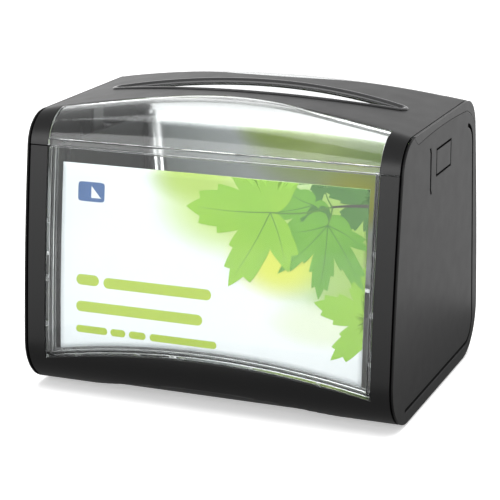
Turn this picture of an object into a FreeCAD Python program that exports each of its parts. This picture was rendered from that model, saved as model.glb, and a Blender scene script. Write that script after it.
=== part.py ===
import FreeCAD, Part
import math
import os

# Tabletop napkin dispenser: a moulded housing with a clear card window in front and behind, and a
# lid with two clear visors and a lens-shaped outlet. Napkins lie flat inside and are pulled out of
# the top. +X is to the right, +Y to the back, +Z up, and the origin is under the middle, on the table.

doc = FreeCAD.newDocument("napkin_dispenser")
sheet = doc.addObject("Spreadsheet::Sheet", "dims")

DIMENSIONS = [
    # overall form
    ("half_width", 100.5, "middle to the outside of a side panel"),
    ("total_height", 155.0, "table to the crown of the lid"),
    ("edge_height", 145.0, "table to the top of the lid at its sides"),
    ("foot_lift", 1.2, "table to the underside of the housing"),
    ("seam_height", 130.0, "parting line between housing and lid"),
    ("seam_gap", 0.2, "half the gap on the parting line"),
    ("corner_reach", 50.5, "centre of the bottom corner from the middle, along Y"),
    ("corner_radius", 25.0, "bottom corner of the side profile"),
    ("face_radius", 1100.0, "slow curve of the front and rear faces"),
    ("face_lean", 3.8, "lean of the face where it leaves the corner, degrees"),
    # side panels
    ("panel_skin", 1.1, "outer skin of a side panel"),
    ("panel_core", 1.9, "inner layer of a side panel"),
    ("core_inset", 3.0, "inner layer from the edge of the skin"),
    ("groove_width", 2.1, "moulded groove in the side panel"),
    ("corner_gap", 1.1, "gap between a side panel and the front frame"),
    # front and rear frames
    ("frame_wall", 2.6, "wall of the front and rear frames"),
    ("frame_wrap", 45.2, "how near to the middle a frame reaches underneath"),
    ("opening_half", 88.8, "half the width of the window opening"),
    ("opening_foot", 19.2, "bottom of the window opening at its corners"),
    ("opening_arch", 8.6, "rise of the bottom of the opening at the middle"),
    # windows and cards
    ("window_gap", 0.4, "window inside its opening"),
    ("window_inset", 0.6, "window behind the frame's face"),
    ("window_skin", 1.8, "thickness of the clear face"),
    ("window_depth", 5.9, "depth of the clear rim behind the face"),
    ("ledge_width", 6.4, "clear ledge that the card rests on"),
    ("ledge_skin", 1.2, "thickness of that ledge"),
    ("card_half", 82.5, "half the width of the printed card"),
    ("card_skin", 0.4, "thickness of the card"),
    ("card_top", 121.0, "top edge of the card"),
    ("card_foot", 22.4, "bottom edge of the card at its corners"),
    # lid
    ("lid_wall", 2.15, "wall of the lid"),
    ("outlet_half_length", 79.0, "half the length of the outlet"),
    ("outlet_half_width", 13.5, "half the width of the outlet"),
    ("rim_wall", 1.5, "wall of the outlet rim"),
    ("rim_flange", 3.4, "outlet rim on top of the lid"),
    ("rim_proud", 0.7, "outlet rim above the lid"),
    ("rim_depth", 5.0, "outlet rim below the top of the lid"),
    ("visor_fit", 0.2, "gap round a visor"),
    ("visor_wall", 2.15, "wall of a visor"),
    ("visor_flange", 1.4, "bonding flange of a visor under the lid"),
    ("visor_lip", 3.3, "height of the thick lower lip of a visor"),
    ("lip_proud", 0.5, "visor lip in front of the lid's surface"),
    ("visor_lap", 1.8, "bonding flange beyond the edge of the visor"),
    ("visor_land", 4.0, "thick band inside the edge of the visor"),
    ("bow_place", 29.0, "middle of the visor's rear edge from the middle of the lid"),
    ("bow_radius", 93.0, "bow in the middle of that edge"),
    ("flank_radius", 224.0, "reverse curve either side of the bow"),
    ("bow_turn", 18.3, "half the angle of the bow, degrees"),
    # chassis and tray
    ("chassis_half", 97.3, "half the width of the chassis floor"),
    ("floor_skin", 3.0, "chassis floor"),
    ("pod_inside", 86.0, "inner wall of the chassis from the middle"),
    ("pod_wall", 2.0, "thickness of that wall"),
    ("pod_reach", 57.5, "half the length of that wall, along Y"),
    ("pod_top", 127.0, "top of that wall"),
    ("tray_top", 16.0, "surface that the napkins lie on"),
    ("tray_skin", 2.0, "thickness of the tray"),
    ("guide_width", 4.0, "napkin guide, along Y"),
    ("guide_depth", 2.6, "napkin guide, along X"),
    ("guide_place", 47.0, "napkin guide from the middle, along Y"),
    ("floor_fit", 0.3, "gap between the chassis floor and the frames"),
    ("shoulder_low", 6.5, "where the pod wall starts to widen over the frame"),
    ("shoulder_high", 14.0, "where the pod wall has its full length"),
    ("keeper_low", 120.4, "underside of a keeper on the pod wall"),
    ("keeper_tall", 2.0, "height of a keeper"),
    ("keeper_reach", 1.7, "keeper, along X"),
    ("tab_width", 16.0, "chassis tab over a frame screw, along X"),
    ("tab_reach", 51.5, "end of that tab from the middle, along Y"),
    ("tab_tall", 4.0, "thickness of that tab"),
    ("tray_reach", 56.0, "half the length of the tray, along Y"),
    ("leg_place", 40.5, "outer face of a tray leg from the middle, along Y"),
    # release buttons
    ("button_middle", 3.8, "middle of a button, along Y"),
    ("button_height", 124.5, "middle of a button, above the table"),
    ("button_length", 24.2, "button, along Y"),
    ("button_tall", 12.1, "button, along Z"),
    ("button_gap", 1.2, "gap round a button"),
    ("button_flange", 1.2, "retaining flange behind a button"),
    ("button_lap", 2.0, "flange beyond the button"),
    ("button_inside", 97.4, "outer face of the flange from the middle"),
    ("spring_wire", 0.6, "wire of the button spring"),
    ("spring_mean", 2.3, "mean radius of the button spring"),
    ("spring_turns", 5.0, "turns of the button spring"),
    ("spring_place", 10.6, "axis of the button spring, along Y"),
    ("catch_inside", 90.4, "inner face of a lid catch from the middle"),
    ("catch_skin", 1.8, "thickness of a lid catch"),
    ("catch_low", 117.5, "bottom of a lid catch"),
    ("catch_high", 144.4, "top of a lid catch, inside the lid"),
    ("tooth_tall", 2.2, "tooth of a lid catch, along Z"),
    ("tooth_reach", 0.6, "tooth in front of its finger"),
    # hinge
    ("hinge_reach", 64.4, "hinge axis from the middle, along Y"),
    ("knuckle_radius", 2.4, "hinge knuckle"),
    ("hinge_pin_radius", 1.0, "hinge pin"),
    ("pin_clearance", 0.05, "lid knuckle round the pin"),
    ("knuckle_start", 89.4, "inner end of the hinge from the middle"),
    ("knuckle_length", 2.4, "a housing knuckle, along X"),
    ("lid_knuckle_length", 3.0, "the lid knuckle, along X"),
    ("knuckle_play", 0.3, "gap between knuckles"),
    # feet and screws
    ("foot_radius", 7.0, "rubber foot"),
    ("foot_x", 86.0, "rubber foot from the middle, along X"),
    ("foot_y", 35.0, "rubber foot from the middle, along Y"),
    ("foot_recess", 1.0, "rubber foot let into the floor"),
    ("screw_radius", 1.5, "shank of a frame screw"),
    ("screw_head", 2.8, "head of a frame screw"),
    ("screw_x", 60.0, "frame screw from the middle, along X"),
    ("screw_y", 48.4, "frame screw from the middle, along Y"),
    ("screw_length", 6.0, "shank of a frame screw"),
    ("head_tall", 0.9, "thickness of its head"),
    ("screw_play", 0.05, "screw in its tab"),
]
for row, (alias, value, note) in enumerate(DIMENSIONS, start=1):
    sheet.set(f"A{row}", note)
    sheet.set(f"B{row}", str(value))
    sheet.setAlias(f"B{row}", alias)
doc.recompute()


def size(alias):
    return float(sheet.get(alias))


PARTS = []


def finish(shape_object, node):
    """Give an object its node name and list it for export."""
    shape_object.Label = node
    PARTS.append(shape_object)
    return shape_object


def vector(x, y, z):
    return FreeCAD.Vector(x, y, z)


# ---------------------------------------------------------------- side profile
# Seen from the side, the housing is a bottom corner arc, a slow face arc tangent to it, and the lid's
# roll tangent to the face at the parting line. Every inset runs parallel to it. Distances along Y are
# given from the middle, because front and back are mirror images.
LEAN = math.radians(size("face_lean"))
CORNER_Y = size("corner_reach")
CORNER_Z = size("foot_lift") + size("corner_radius")
FACE_Y = CORNER_Y - (size("face_radius") - size("corner_radius")) * math.cos(LEAN)
FACE_Z = CORNER_Z - (size("face_radius") - size("corner_radius")) * math.sin(LEAN)
SEAM_TILT = math.asin((size("seam_height") - FACE_Z) / size("face_radius"))


def face(height, inset=0.0):
    """Distance of the face from the middle at a height between the corner and the parting line."""
    return FACE_Y + math.sqrt((size("face_radius") - inset) ** 2 - (height - FACE_Z) ** 2)


def corner(degrees, inset=0.0):
    """Point of the bottom corner arc, 0 at its side and 90 underneath."""
    angle = math.radians(degrees)
    reach = size("corner_radius") - inset
    return CORNER_Y + reach * math.cos(angle), CORNER_Z - reach * math.sin(angle)


def corner_end(inset=0.0):
    """Point where the corner arc meets the face arc."""
    return corner(-size("face_lean"), inset)


def roll(top, degrees, inset=0.0):
    """Point of the lid's roll under a top of that height, by angle from the face, 90 on the top."""
    radius = (top - size("seam_height")) / (1 - math.sin(SEAM_TILT))
    start = math.degrees(SEAM_TILT)
    angle = math.radians(start + (90 - start) * degrees / 90)
    centre_y = face(size("seam_height")) - radius * math.cos(SEAM_TILT)
    centre_z = size("seam_height") - radius * math.sin(SEAM_TILT)
    reach = radius - inset
    return centre_y + reach * math.cos(angle), centre_z + reach * math.sin(angle)


def mirrored(point):
    return -point[0], point[1]


# ---------------------------------------------------------------- sketches, pads and solids
def draw(sketch, start, *steps):
    """Draw a closed outline: a step is a point for a line, or (point, point) for an arc through both."""
    here = start
    for step in steps + (start,):
        curved = isinstance(step[0], tuple)
        there = step[1] if curved else step
        if curved:
            sketch.addGeometry(Part.Arc(vector(*here, 0), vector(*step[0], 0), vector(*there, 0)), False)
        elif math.dist(here, there) > 1e-6:
            sketch.addGeometry(Part.LineSegment(vector(*here, 0), vector(*there, 0)), False)
        here = there


def plane_sketch(body, role, name):
    """A sketch on one of the body's own origin planes."""
    sketch = body.newObject("Sketcher::SketchObject", name)
    plane = next(p for p in body.Origin.OriginFeatures if getattr(p, "Role", "") == role)
    sketch.AttachmentSupport = [(plane, "")]
    sketch.MapMode = "FlatFace"
    return sketch


def side_pad(body, name, start, length, side, *outline):
    """Pad an outline in Y and Z along X, from a bound start to a bound length, on the given side."""
    sketch = plane_sketch(body, "YZ_Plane", name + "_sketch")
    draw(sketch, *outline)
    offset = start if side > 0 else f"-({start}) - ({length})"
    sketch.setExpression(".AttachmentOffset.Base.z", offset)
    pad = body.newObject("PartDesign::Pad", name)
    pad.Profile = sketch
    pad.setExpression("Length", length)
    body.Tip = pad
    return pad


def side_pocket(body, name, start, length, side, *outline):
    """Cut an outline in Y and Z along X, and check that it took material away."""
    sketch = plane_sketch(body, "YZ_Plane", name + "_sketch")
    draw(sketch, *outline)
    offset = start if side > 0 else f"-({start}) - ({length})"
    sketch.setExpression(".AttachmentOffset.Base.z", offset)
    doc.recompute()
    before = body.Shape.Volume
    pocket = body.newObject("PartDesign::Pocket", name)
    pocket.Profile = sketch
    pocket.Reversed = True
    pocket.setExpression("Length", length)
    body.Tip = pocket
    doc.recompute()
    assert body.Shape.Volume < before - 0.1, f"{name} cuts nothing"
    return pocket


def plain_sketch(name, plane, *outline):
    """A free sketch in the side view (YZ), the front view (XZ) or the plan (XY)."""
    sketch = doc.addObject("Sketcher::SketchObject", name)
    draw(sketch, *outline)
    turns = {
        "plan": FreeCAD.Rotation(),
        "front": FreeCAD.Rotation(vector(1, 0, 0), 90),
        "side": FreeCAD.Rotation(vector(1, 1, 1), 120),
    }
    sketch.Placement = FreeCAD.Placement(vector(0, 0, 0), turns[plane])
    return sketch


def prism(name, plane, length, *outline):
    """A solid swept both ways from an outline in one of the three views."""
    body = doc.addObject("Part::Extrusion", name)
    body.Base = plain_sketch(name + "_sketch", plane, *outline)
    body.DirMode = "Normal"
    body.Solid = True
    body.Symmetric = True
    body.setExpression("LengthFwd", length)
    return body


def cut(name, base, tool):
    result = doc.addObject("Part::Cut", name)
    result.Base, result.Tool = base, tool
    return result


def common(name, *shapes):
    result = doc.addObject("Part::MultiCommon", name)
    result.Shapes = list(shapes)
    return result


def fuse(name, *shapes):
    result = doc.addObject("Part::MultiFuse", name)
    result.Shapes = list(shapes)
    return result


def block(name, x_low, x_high, y_low, y_high, z_low, z_high):
    """A box between bound limits: each limit is an expression on the sheet or a number."""
    box = doc.addObject("Part::Box", name)
    for key, low, high in (("Length", x_low, x_high), ("Width", y_low, y_high), ("Height", z_low, z_high)):
        box.setExpression(key, f"({high}) - ({low})")
    for key, low in (("x", x_low), ("y", y_low), ("z", z_low)):
        box.setExpression(f".Placement.Base.{key}", f"{low}")
    return box


def rod(name, radius, start, length, y, z):
    """A cylinder along X from a bound start."""
    cylinder = doc.addObject("Part::Cylinder", name)
    cylinder.Placement.Rotation = FreeCAD.Rotation(vector(0, 1, 0), 90)
    cylinder.setExpression("Radius", radius)
    cylinder.setExpression("Height", length)
    for key, value in (("x", start), ("y", y), ("z", z)):
        cylinder.setExpression(f".Placement.Base.{key}", f"{value}")
    return cylinder


def post(name, radius, height, x, y, z):
    """An upright cylinder from a bound foot."""
    cylinder = doc.addObject("Part::Cylinder", name)
    cylinder.setExpression("Radius", radius)
    cylinder.setExpression("Height", height)
    for key, value in (("x", x), ("y", y), ("z", z)):
        cylinder.setExpression(f".Placement.Base.{key}", f"{value}")
    return cylinder


def copy_across(name, source, normal):
    """The mirror image of an object through the middle of the dispenser."""
    image = doc.addObject("Part::Mirroring", name)
    image.Source = source
    image.Normal = normal
    return image


LEFT_RIGHT = vector(1, 0, 0)
FRONT_BACK = vector(0, 1, 0)
SIDES = (("left", -1), ("right", 1))
ENDS = (("front", -1), ("rear", 1))


# ---------------------------------------------------------------- side panels
# Each panel is a thin skin in the full side profile with a thicker layer set back behind its edge. The
# lid's parting line runs over its top, and a J-shaped and a short upright groove are moulded into it.
def parting_curve(drop):
    """Lid parting line from the rear face to the front of the skirt, lowered by a drop."""
    rear = (face(size("seam_height") - 1) - drop, size("seam_height") - 0.8 - drop)
    shoulder = (46.0, 140.2 - drop)
    rear_arc = ((56.4, 135.4 - drop), shoulder)
    top_arc = ((2.0, 141.9 - drop), (-41.0, 140.6 - drop))
    return rear, rear_arc, top_arc


def panel_outline(inset, drop):
    """Side panel seen from the right, its edge moved in by an inset and its top by a drop."""
    edge = size("edge_height")
    rear, rear_arc, top_arc = parting_curve(drop)
    horn = mirrored(roll(edge, 84, inset))
    outline = [
        mirrored(corner(90, inset)),
        (mirrored(corner(42, inset)), mirrored(corner_end(inset))),
        (mirrored((face(80, inset), 80)), mirrored(roll(edge, 0, inset))),
        (mirrored(roll(edge, 42, inset)), horn),
        top_arc[1],
        (top_arc[0], rear_arc[1]),
        (rear_arc[0], (face(rear[1], inset), rear[1])),
        ((face(80, inset), 80), corner_end(inset)),
        (corner(42, inset), corner(90, inset)),
    ]
    return outline


def j_groove(half):
    """Band of the J groove: the upper bend, the leaning run and the lower bend are tangent."""
    upper, upper_radius = (46.6, 119.9), 12.0
    lower, lower_radius = (53.8, 21.1), 12.6
    run = (lower[0] - upper[0], upper[1] - lower[1])
    tilt = math.atan2(run[0], run[1]) + math.asin((lower_radius - upper_radius) / math.hypot(*run))

    def on(centre, radius, angle):
        return centre[0] + radius * math.cos(angle), centre[1] + radius * math.sin(angle)

    first, last, tail = math.radians(82), math.radians(-90), -55.5
    outer, inner = half, -half
    return (
        on(upper, upper_radius + outer, first),
        (on(upper, upper_radius + outer, (first + tilt) / 2), on(upper, upper_radius + outer, tilt)),
        on(lower, lower_radius + outer, tilt),
        (on(lower, lower_radius + outer, (last + tilt) / 2), on(lower, lower_radius + outer, last)),
        (tail, lower[1] - lower_radius - outer),
        (tail, lower[1] - lower_radius - inner),
        on(lower, lower_radius + inner, last),
        (on(lower, lower_radius + inner, (last + tilt) / 2), on(lower, lower_radius + inner, tilt)),
        on(upper, upper_radius + inner, tilt),
        (on(upper, upper_radius + inner, (first + tilt) / 2), on(upper, upper_radius + inner, first)),
    )


def upright_groove(half):
    """Band of the short groove ahead of the button, its ends bent to the front and to the rear."""
    y, low, high, bend, shift = -19.0, 112.8, 131.6, 2.6, 1.4
    return (
        (y - half, low), (y - half, high), (y - half - shift, high + bend), (y + half - shift, high + bend),
        (y + half, high), (y + half, low), (y + half + shift, low - bend), (y - half + shift, low - bend),
    )


def button_hole(gap):
    """Rectangle of the button with a gap round it."""
    half_y, half_z = size("button_length") / 2 + gap, size("button_tall") / 2 + gap
    y, z = size("button_middle"), size("button_height")
    low, high = z - half_z, z + half_z
    return (y - half_y, low), (y + half_y, low), (y + half_y, high), (y - half_y, high)


for name, side in SIDES:
    body = doc.addObject("PartDesign::Body", f"side_panel_{name}_body")
    skin_start = "dims.half_width - dims.panel_skin"
    core_start = "dims.half_width - dims.panel_skin - dims.panel_core"
    side_pad(body, f"skin_{name}", skin_start, "dims.panel_skin", side, *panel_outline(0.0, 0.3))
    side_pad(body, f"core_{name}", core_start, "dims.panel_core", side,
             *panel_outline(size("core_inset"), 1.2))
    half_groove = size("groove_width") / 2
    side_pocket(body, f"j_groove_{name}", skin_start, "dims.panel_skin", side, *j_groove(half_groove))
    side_pocket(body, f"upright_groove_{name}", skin_start, "dims.panel_skin", side,
                *upright_groove(half_groove))
    side_pocket(body, f"button_hole_{name}", core_start, "dims.panel_skin + dims.panel_core", side,
                *button_hole(size("button_gap")))
    finish(body, f"side_panel_{name}")


# ---------------------------------------------------------------- front and rear frames
# A frame is a U: two arms beside the window and a bar below it that wraps round the bottom corner.
def face_band(outer, inner, low, high):
    """Band along the front face between two insets and two heights."""
    middle = (low + high) / 2
    return (
        (-face(low, outer), low), ((-face(middle, outer), middle), (-face(high, outer), high)),
        (-face(high, inner), high), ((-face(middle, inner), middle), (-face(low, inner), low)),
    )


def frame_band():
    """Band of the frame: underneath, round the corner and up the face to the parting line."""
    wall, high = size("frame_wall"), size("seam_height") - size("seam_gap")
    wrap = -size("frame_wrap")
    return (
        (wrap, size("foot_lift")), mirrored(corner(90)),
        (mirrored(corner(42)), mirrored(corner_end())),
        ((-face(80), 80), (-face(high), high)),
        (-face(high, wall), high),
        ((-face(80, wall), 80), mirrored(corner_end(wall))),
        (mirrored(corner(42, wall)), mirrored(corner(90, wall))),
        (wrap, size("foot_lift") + wall),
    )


def opening(shrink, foot_lift, top):
    """Window opening seen from the front, shrunk at its sides and lifted at its arched foot."""
    half = size("opening_half") - shrink
    foot = size("opening_foot") + foot_lift
    return (-half, foot), ((0, foot + size("opening_arch")), (half, foot)), (half, top), (-half, top)


ABOVE_LID = size("total_height") + 10
frame_solid = prism("frame_solid", "side", "2 * (dims.half_width - dims.panel_skin - dims.corner_gap)",
                    *frame_band())
through = prism("frame_opening", "front", "4 * dims.half_width", *opening(0.0, 0.0, ABOVE_LID))
front_half = block("front_half", "-2 * dims.half_width", "2 * dims.half_width",
                   "-2 * dims.half_width", "0", "0", "2 * dims.total_height")
frame_opening_front = common("frame_opening_front", through, front_half)
frame_shell = cut("frame_shell", frame_solid, frame_opening_front)

frame_holes = fuse("frame_holes", *[
    post(f"frame_hole_{name}", "dims.screw_radius + 0.1", "10", f"{side} * dims.screw_x",
         "-dims.screw_y", "0")
    for name, side in SIDES
] + [
    post(f"frame_sink_{name}", "dims.screw_head + 0.2", "dims.foot_lift + 1.3", f"{side} * dims.screw_x",
         "-dims.screw_y", "0")
    for name, side in SIDES
])
plain_frame = cut("plain_frame", frame_shell, frame_holes)
finish(plain_frame, "front_frame")


# ---------------------------------------------------------------- lid hinge
# Two hinges at the rear parting line, outside the wall, so the lid swings clear. The housing has the
# outer two knuckles of each, the lid the middle one.
HINGE_Y, HINGE_Z = "dims.hinge_reach", "dims.seam_height"
HOUSING_STARTS = (
    "dims.knuckle_start",
    "dims.knuckle_start + dims.knuckle_length + dims.lid_knuckle_length + 2 * dims.knuckle_play",
)
LID_START = "dims.knuckle_start + dims.knuckle_length + dims.knuckle_play"
HINGE_LENGTH = "2 * dims.knuckle_length + dims.lid_knuckle_length + 2 * dims.knuckle_play"


def on_side(side, start, length):
    """Start of a span on the right, or of its mirror image on the left."""
    return start if side > 0 else f"-({start}) - ({length})"


housing_knuckles, lid_knuckles, pins = [], [], []
pin_holes, wide_holes, lid_notches, housing_notches = [], [], [], []
for name, side in SIDES:
    for number, start in enumerate(HOUSING_STARTS):
        at = on_side(side, start, "dims.knuckle_length")
        wide = on_side(side, f"{start} - dims.knuckle_play", "dims.knuckle_length + 2 * dims.knuckle_play")
        housing_knuckles.append(rod(f"housing_knuckle_{name}_{number}", "dims.knuckle_radius", at,
                                    "dims.knuckle_length", HINGE_Y, HINGE_Z))
        lid_notches.append(rod(f"lid_notch_{name}_{number}", "dims.knuckle_radius + dims.knuckle_play", wide,
                               "dims.knuckle_length + 2 * dims.knuckle_play", HINGE_Y, HINGE_Z))
    at = on_side(side, LID_START, "dims.lid_knuckle_length")
    wide = on_side(side, f"{LID_START} - dims.knuckle_play",
                   "dims.lid_knuckle_length + 2 * dims.knuckle_play")
    lid_knuckles.append(rod(f"lid_knuckle_{name}", "dims.knuckle_radius", at, "dims.lid_knuckle_length",
                            HINGE_Y, HINGE_Z))
    housing_notches.append(rod(f"housing_notch_{name}", "dims.knuckle_radius + dims.knuckle_play", wide,
                               "dims.lid_knuckle_length + 2 * dims.knuckle_play", HINGE_Y, HINGE_Z))
    at = on_side(side, "dims.knuckle_start", HINGE_LENGTH)
    pins.append(rod(f"hinge_pin_{name}_rod", "dims.hinge_pin_radius", at, HINGE_LENGTH, HINGE_Y, HINGE_Z))
    finish(pins[-1], f"hinge_pin_{name}")
    at = on_side(side, "dims.knuckle_start - 1", f"{HINGE_LENGTH} + 2")
    pin_holes.append(rod(f"pin_hole_{name}", "dims.hinge_pin_radius + 0.01", at, f"{HINGE_LENGTH} + 2",
                         HINGE_Y, HINGE_Z))
    wide_holes.append(rod(f"wide_hole_{name}", "dims.hinge_pin_radius + dims.pin_clearance", at,
                          f"{HINGE_LENGTH} + 2", HINGE_Y, HINGE_Z))

rear_frame_plain = copy_across("rear_frame_plain", plain_frame, FRONT_BACK)
rear_frame_joined = fuse("rear_frame_joined", rear_frame_plain, *housing_knuckles)
rear_frame_cuts = fuse("rear_frame_cuts", *housing_notches, *pin_holes)
finish(cut("rear_frame_cut", rear_frame_joined, rear_frame_cuts), "rear_frame")


# ---------------------------------------------------------------- windows and cards
# A window is a shallow clear tray that snaps into the frame: a curved face, a rim round its sides and
# foot, and a ledge inside the rim. The printed card rests against the ledge.
WINDOW_BACK = size("window_inset") + size("window_depth")


def layer(name, outer, inner, *outline):
    """Part of the layer between two insets of the front face that lies inside an outline."""
    high = size("seam_height") - size("seam_gap")
    slab = prism(name + "_slab", "side", "2 * dims.half_width", *face_band(outer, inner, 12.0, high))
    shape = prism(name + "_shape", "front", "4 * dims.half_width", *outline)
    return common(name, slab, shape)


GAP = size("window_gap")
RIM = size("window_skin")
face_back = size("window_inset") + size("window_skin")
clear_face = layer("clear_face", size("window_inset"), face_back, *opening(GAP, GAP, ABOVE_LID))
rim_full = layer("rim_full", face_back, WINDOW_BACK, *opening(GAP, GAP, ABOVE_LID))
rim_room = prism("rim_room", "front", "4 * dims.half_width", *opening(GAP + RIM, GAP + RIM, ABOVE_LID))
rim_ring = cut("rim_ring", rim_full, rim_room)
ledge_full = layer("ledge_full", WINDOW_BACK - size("ledge_skin"), WINDOW_BACK,
                   *opening(GAP, GAP, ABOVE_LID))
ledge_room = prism("ledge_room", "front", "4 * dims.half_width",
                   *opening(GAP + size("ledge_width"), GAP + size("ledge_width"), ABOVE_LID))
ledge_ring = cut("ledge_ring", ledge_full, ledge_room)
front_window = finish(fuse("front_window_solid", clear_face, rim_ring, ledge_ring), "front_window")
finish(copy_across("rear_window_solid", front_window, FRONT_BACK), "rear_window")

card_half, card_foot = size("card_half"), size("card_foot")
front_card = layer(
    "front_card_solid", WINDOW_BACK + 0.05, WINDOW_BACK + 0.05 + size("card_skin"),
    (-card_half, card_foot), ((0, card_foot + size("opening_arch")), (card_half, card_foot)),
    (card_half, size("card_top")), (-card_half, size("card_top")),
)
finish(front_card, "front_card")
finish(copy_across("rear_card_solid", front_card, FRONT_BACK), "rear_card")


# ---------------------------------------------------------------- lid
# The lid's form is a loft through three side sections: low at both sides, high in the middle. Its
# walls are the space between two such lofts, and the visors and outlet are cut out of them in plan.
def section_wire(x, top, inset):
    """Side section of the lid form: up the face from below the seam, over the roll, and down again."""
    low = size("seam_height") - 6
    tilt = SEAM_TILT
    foot = (face(size("seam_height")) - inset * math.cos(tilt) + 6 * math.tan(tilt), low)
    start, middle, end = (roll(top, degrees, inset) for degrees in (0, 45, 90))
    points = {key: vector(x, *value) for key, value in (
        ("foot", foot), ("start", start), ("middle", middle), ("end", end))}
    back = {key: vector(x, -value.y, value.z) for key, value in points.items()}
    edges = [
        Part.LineSegment(back["foot"], back["start"]),
        Part.Arc(back["start"], back["middle"], back["end"]),
        Part.LineSegment(back["end"], points["end"]),
        Part.Arc(points["end"], points["middle"], points["start"]),
        Part.LineSegment(points["start"], points["foot"]),
        Part.LineSegment(points["foot"], back["foot"]),
    ]
    return Part.Wire([edge.toShape() for edge in edges])


def lid_form(name, inset, half):
    """Solid inside the lid's surface moved in by an inset, out to a half width."""
    crown, edge = size("total_height"), size("edge_height")
    sag = (crown - edge) * (half / size("half_width")) ** 2
    stations = [(-half, crown - sag), (0.0, crown), (half, crown - sag)]
    form = doc.addObject("Part::Feature", name)
    form.Shape = Part.makeLoft([section_wire(x, top, inset) for x, top in stations], True, False, False)
    form.Placement = FreeCAD.Placement()
    return form


WALL = size("lid_wall")
ARM_END = size("half_width") - size("panel_skin") - size("corner_gap")
outer_form = lid_form("outer_form", 0.0, size("half_width"))
inner_form = lid_form("inner_form", WALL, ARM_END)
below_seam = block("below_seam", "-2 * dims.half_width", "2 * dims.half_width", "-2 * dims.half_width",
                   "2 * dims.half_width", "0", "dims.seam_height + dims.seam_gap")


def lens(extra):
    """Lens outline in plan, the outlet grown by a margin."""
    length, width = size("outlet_half_length") + extra, size("outlet_half_width") + extra
    return (-length, 0), ((0, -width), (length, 0)), ((0, width), (-length, 0))


def visor_plan(shrink):
    """Plan of the front visor: straight sides, and a rear edge that bows towards the outlet."""
    half = size("opening_half") - shrink
    bow, turn = -size("bow_place") - shrink, math.radians(size("bow_turn"))
    bow_radius, flank_radius = size("bow_radius"), size("flank_radius")
    bow_centre = bow - bow_radius
    joint = (bow_radius * math.sin(turn), bow_centre + bow_radius * math.cos(turn))
    flank = (
        (bow_radius + flank_radius) * math.sin(turn),
        bow_centre + (bow_radius + flank_radius) * math.cos(turn),
    )

    def on_flank(x):
        return x, flank[1] - math.sqrt(flank_radius ** 2 - (flank[0] - x) ** 2)

    corner_point, between = on_flank(half), on_flank((half + joint[0]) / 2)
    front = -2 * size("corner_reach")
    return (
        (-half, front), (half, front), corner_point, (between, joint),
        ((0, bow), mirrored(joint)), (mirrored(between), mirrored(corner_point)),
    )


def both_ends(name, shape):
    return fuse(name, shape, copy_across(name + "_rear", shape, FRONT_BACK))


side_cut_outline = (
    (-2 * size("half_width"), 100.0), (2 * size("half_width"), 100.0),
    (2 * size("half_width"), parting_curve(0.0)[0][1]), parting_curve(0.0)[0],
    parting_curve(0.0)[1], parting_curve(0.0)[2], mirrored(roll(size("edge_height"), 90, -1.0)),
    (-2 * size("half_width"), ABOVE_LID),
)
side_zone = prism("side_zone", "side", "4 * dims.half_width", *side_cut_outline)
between_panels = block(
    "between_panels",
    "-(dims.half_width - dims.panel_skin - dims.corner_gap)",
    "dims.half_width - dims.panel_skin - dims.corner_gap",
    "-2 * dims.half_width", "2 * dims.half_width", "0", "2 * dims.total_height",
)
panel_zone = cut("panel_zone", side_zone, between_panels)
visor_opening = prism("visor_opening", "plan", "4 * dims.total_height", *visor_plan(0.0))
outlet_opening = prism("outlet_opening", "plan", "4 * dims.total_height", *lens(size("rim_wall") + 0.1))

lid_shell = cut("lid_shell", outer_form, inner_form)
lid_trimmed = cut("lid_trimmed", lid_shell, fuse("lid_removals", below_seam, panel_zone))
lid_open = cut("lid_open", lid_trimmed, fuse("lid_openings", both_ends("visor_openings", visor_opening),
                                             outlet_opening))
lid_hinged = fuse("lid_hinged", lid_open, *lid_knuckles)
finish(cut("top_cap_solid", lid_hinged, fuse("lid_hinge_cuts", *lid_notches, *wide_holes)), "top_cap")

# Outlet rim: a short lens-shaped sleeve with a narrow flange that lies on the lid.
rim_top = lid_form("rim_top", -size("rim_proud"), size("half_width"))
rim_low = lid_form("rim_low", size("rim_depth"), size("half_width"))
sleeve = cut("sleeve", common("sleeve_full", rim_top, prism("sleeve_plan", "plan", "4 * dims.total_height",
                                                            *lens(size("rim_wall")))), rim_low)
flange = cut("flange", common("flange_full", rim_top, prism("flange_plan", "plan", "4 * dims.total_height",
                                                            *lens(size("rim_flange")))),
             lid_form("flange_seat", -0.02, size("half_width")))
rim_solid = fuse("rim_solid", sleeve, flange)
finish(cut("outlet_rim_solid", rim_solid, prism("outlet", "plan", "4 * dims.total_height", *lens(0.0))),
       "outlet_rim")

# Visors: clear curved panes in the same form as the lid, with a thick lower lip and a bonding flange
# that lies under the lid's edge.
LAND = size("visor_land")
visor_core = lid_form("visor_core", size("visor_wall"), size("half_width"))
flange_core = lid_form("flange_core", size("visor_wall") + size("visor_flange"), size("half_width"))
flange_face = lid_form("flange_face", size("visor_wall") + 0.05, size("half_width"))
pane_plan = prism("pane_plan", "plan", "4 * dims.total_height", *visor_plan(size("visor_fit")))
pane = cut("pane", common("pane_full", outer_form, pane_plan), visor_core)
inner_band = cut("inner_band", common("inner_band_full", visor_core,
                                      prism("inner_band_plan", "plan", "4 * dims.total_height",
                                            *visor_plan(size("visor_fit")))), flange_core)
pane_middle = prism("pane_middle", "plan", "4 * dims.total_height", *visor_plan(LAND))
edge_band = cut("edge_band", inner_band, pane_middle)
lap = cut("lap", common("lap_full", flange_face, prism("lap_plan", "plan", "4 * dims.total_height",
                                                       *visor_plan(-size("visor_lap")))), flange_core)
lap_band = cut("lap_band", lap, prism("lap_middle", "plan", "4 * dims.total_height", *visor_plan(LAND)))
lip_block = block("lip_block", "-(dims.opening_half - dims.visor_fit)", "dims.opening_half - dims.visor_fit",
                  "-2 * dims.half_width", "0", "dims.seam_height + dims.seam_gap",
                  "dims.seam_height + dims.seam_gap + dims.visor_lip")
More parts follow.
